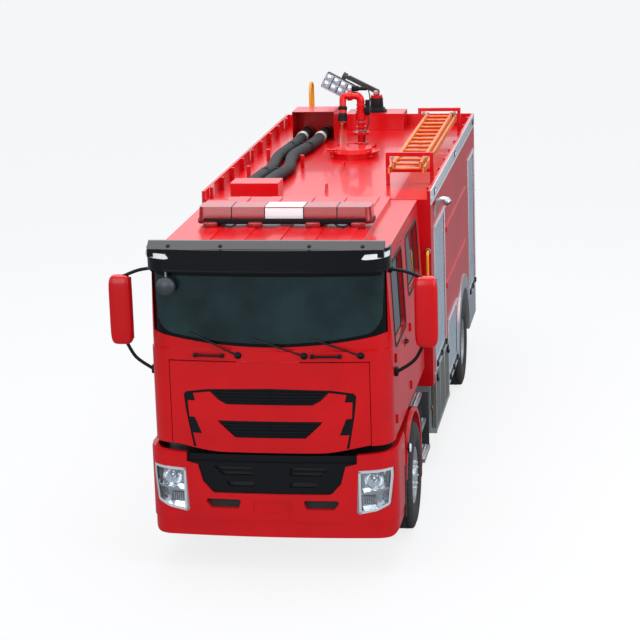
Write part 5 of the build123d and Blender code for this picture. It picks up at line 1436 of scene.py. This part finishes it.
class FIRETRUCK_OT_seats(bpy.types.Operator):
    """Padded cushions and backs on moulded seat bases"""

    bl_idname = "fire_truck.seats"
    bl_label = "Seats"

    def execute(self, context):
        settings = context.scene.fire_truck_seats
        bases = bmesh.new()
        # seat: name, x from, x to, front, back
        rows = (("driver", 500, 1010, 900, 1420), ("mate", -1010, -500, 900, 1420),
                ("crew_left", 345, 1000, 2310, 2760), ("crew_middle", -325, 325, 2310, 2760),
                ("crew_right", -1000, -345, 2310, 2760))
        for name, x0, x1, front, back in rows:
            slab(bases, at(x0 + 62, front + 45, 1302), at(x1 - 62, back - 45, 1562), 0.02)
            slab(bases, at(x0 + 6, front + 8, 1560), at(x1 - 6, back - 4, 1604), 0.012)
            slab(bases, at(x0 + 12, back - 42, 1600), at(x1 - 12, back - 4, 2400), 0.018)
            seat = self.pad((x1 - x0 - 16, back - front - 70, 118), settings, (3, 0))
            self.fit(seat, f"{name}_cushion", at((x0 + x1) / 2, (front + back) / 2 - 27, 1660), Matrix.Identity(3))
            upright = Matrix(((1, 0, 0), (0, 0, -1), (0, 1, 0)))
            rest = self.pad((x1 - x0 - 22, 560, 84), settings, (3, 0))
            self.fit(rest, f"{name}_back", at((x0 + x1) / 2, back - 74, 2000), upright)
            head = self.pad((300, 150, 84), settings, (0, 0))
            self.fit(head, f"{name}_head_rest", at((x0 + x1) / 2, back - 66, 2342), upright)
        base = keep(bases, "seat_bases", "cab", "moulded_plastic")
        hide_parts("seats")
        return {"FINISHED"}

    def pad(self, size, settings, channels, across=26, along=26):
        """Crowned closed pad with pulled-in sides and sewn channels on its upper face."""
        mesh = bmesh.new()
        width, depth, thick = (s / 2000 for s in size)
        top, bottom = [], []
        for j in range(along + 1):
            v = -1 + 2 * j / along
            rows = ([], [])
            for i in range(across + 1):
                u = -1 + 2 * i / across
                x = width * u * (1 - 0.035 * (1 - v * v))
                y = depth * v * (1 - 0.035 * (1 - u * u))
                full = ((1 - abs(u) ** 6) * (1 - abs(v) ** 6)) ** 0.34
                crown = settings.crown / 1000 * (1 - u * u) * (1 - v * v)
                groove = 0.0
                for k in range(channels[0]):
                    line = -0.5 + k / max(1, channels[0] - 1)
                    groove += settings.channel / 1000 * 2.718 ** (-((u - line) * 13) ** 2) * (1 - v ** 8)
                high = (thick - settings.crown / 1000) * full + crown - groove
                rows[0].append((x, y, high))
                rows[1].append((x, y, -thick * full))
            top.append(rows[0])
            bottom.append(rows[1])
        upper = [[mesh.verts.new(p) for p in row] for row in top]
        lower = []
        for j, row in enumerate(bottom):
            lower.append([upper[j][i] if j in (0, along) or i in (0, across) else mesh.verts.new(p)
                          for i, p in enumerate(row)])
        for j in range(along):
            for i in range(across):
                mesh.faces.new((upper[j][i], upper[j][i + 1], upper[j + 1][i + 1], upper[j + 1][i]))
                mesh.faces.new((lower[j][i], lower[j + 1][i], lower[j + 1][i + 1], lower[j][i + 1]))
        return mesh

    def fit(self, mesh, name, centre, turned):
        bmesh.ops.transform(mesh, matrix=Matrix.Translation(centre) @ turned.to_4x4(), verts=mesh.verts)
        piece = keep(mesh, name, "cab", "seat_cloth", 70)
        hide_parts("seats")


class FIRETRUCK_PT_panel(bpy.types.Panel):
    """Lists the truck's pieces"""

    bl_label = "Fire Truck"
    bl_space_type = "VIEW_3D"
    bl_region_type = "UI"
    bl_category = "Fire Truck"

    def draw(self, context):
        for group in GROUPS:
            settings = getattr(context.scene, group)
            box = self.layout.box()
            for name in settings.__annotations__:
                box.prop(settings, name)
        for operator in OPERATORS:
            self.layout.operator(operator.bl_idname)


OPERATORS = (
    FIRETRUCK_OT_stage, FIRETRUCK_OT_paint, FIRETRUCK_OT_tyres, FIRETRUCK_OT_wheel_nuts, FIRETRUCK_OT_head_lamps,
    FIRETRUCK_OT_screen, FIRETRUCK_OT_visor, FIRETRUCK_OT_mirrors, FIRETRUCK_OT_doors, FIRETRUCK_OT_light_bar,
    FIRETRUCK_OT_body_bands, FIRETRUCK_OT_shutters, FIRETRUCK_OT_step_flaps, FIRETRUCK_OT_side_fittings,
    FIRETRUCK_OT_back, FIRETRUCK_OT_hoses, FIRETRUCK_OT_manhole, FIRETRUCK_OT_monitor, FIRETRUCK_OT_light_tower,
    FIRETRUCK_OT_deck_ladder, FIRETRUCK_OT_seats,
)
GROUPS = {
    "fire_truck_stage": StageSettings, "fire_truck_wheels": WheelSettings, "fire_truck_screen": ScreenSettings,
    "fire_truck_mirrors": MirrorSettings, "fire_truck_light_bar": LightBarSettings, "fire_truck_body": BodySettings,
    "fire_truck_deck": DeckSettings, "fire_truck_seats": SeatSettings,
}


def register():
    for name, group in GROUPS.items():
        bpy.utils.register_class(group)
        setattr(bpy.types.Scene, name, bpy.props.PointerProperty(type=group))
    for operator in OPERATORS:
        bpy.utils.register_class(operator)
    bpy.utils.register_class(FIRETRUCK_PT_panel)


def unregister():
    bpy.utils.unregister_class(FIRETRUCK_PT_panel)
    for operator in reversed(OPERATORS):
        bpy.utils.unregister_class(operator)
    for name, group in GROUPS.items():
        delattr(bpy.types.Scene, name)
        bpy.utils.unregister_class(group)


def main():
    """Make every piece in order."""
    register()
    for operator in OPERATORS:
        group, name = operator.bl_idname.split(".")
        getattr(getattr(bpy.ops, group), name)()


if __name__ == "__main__":
    main()
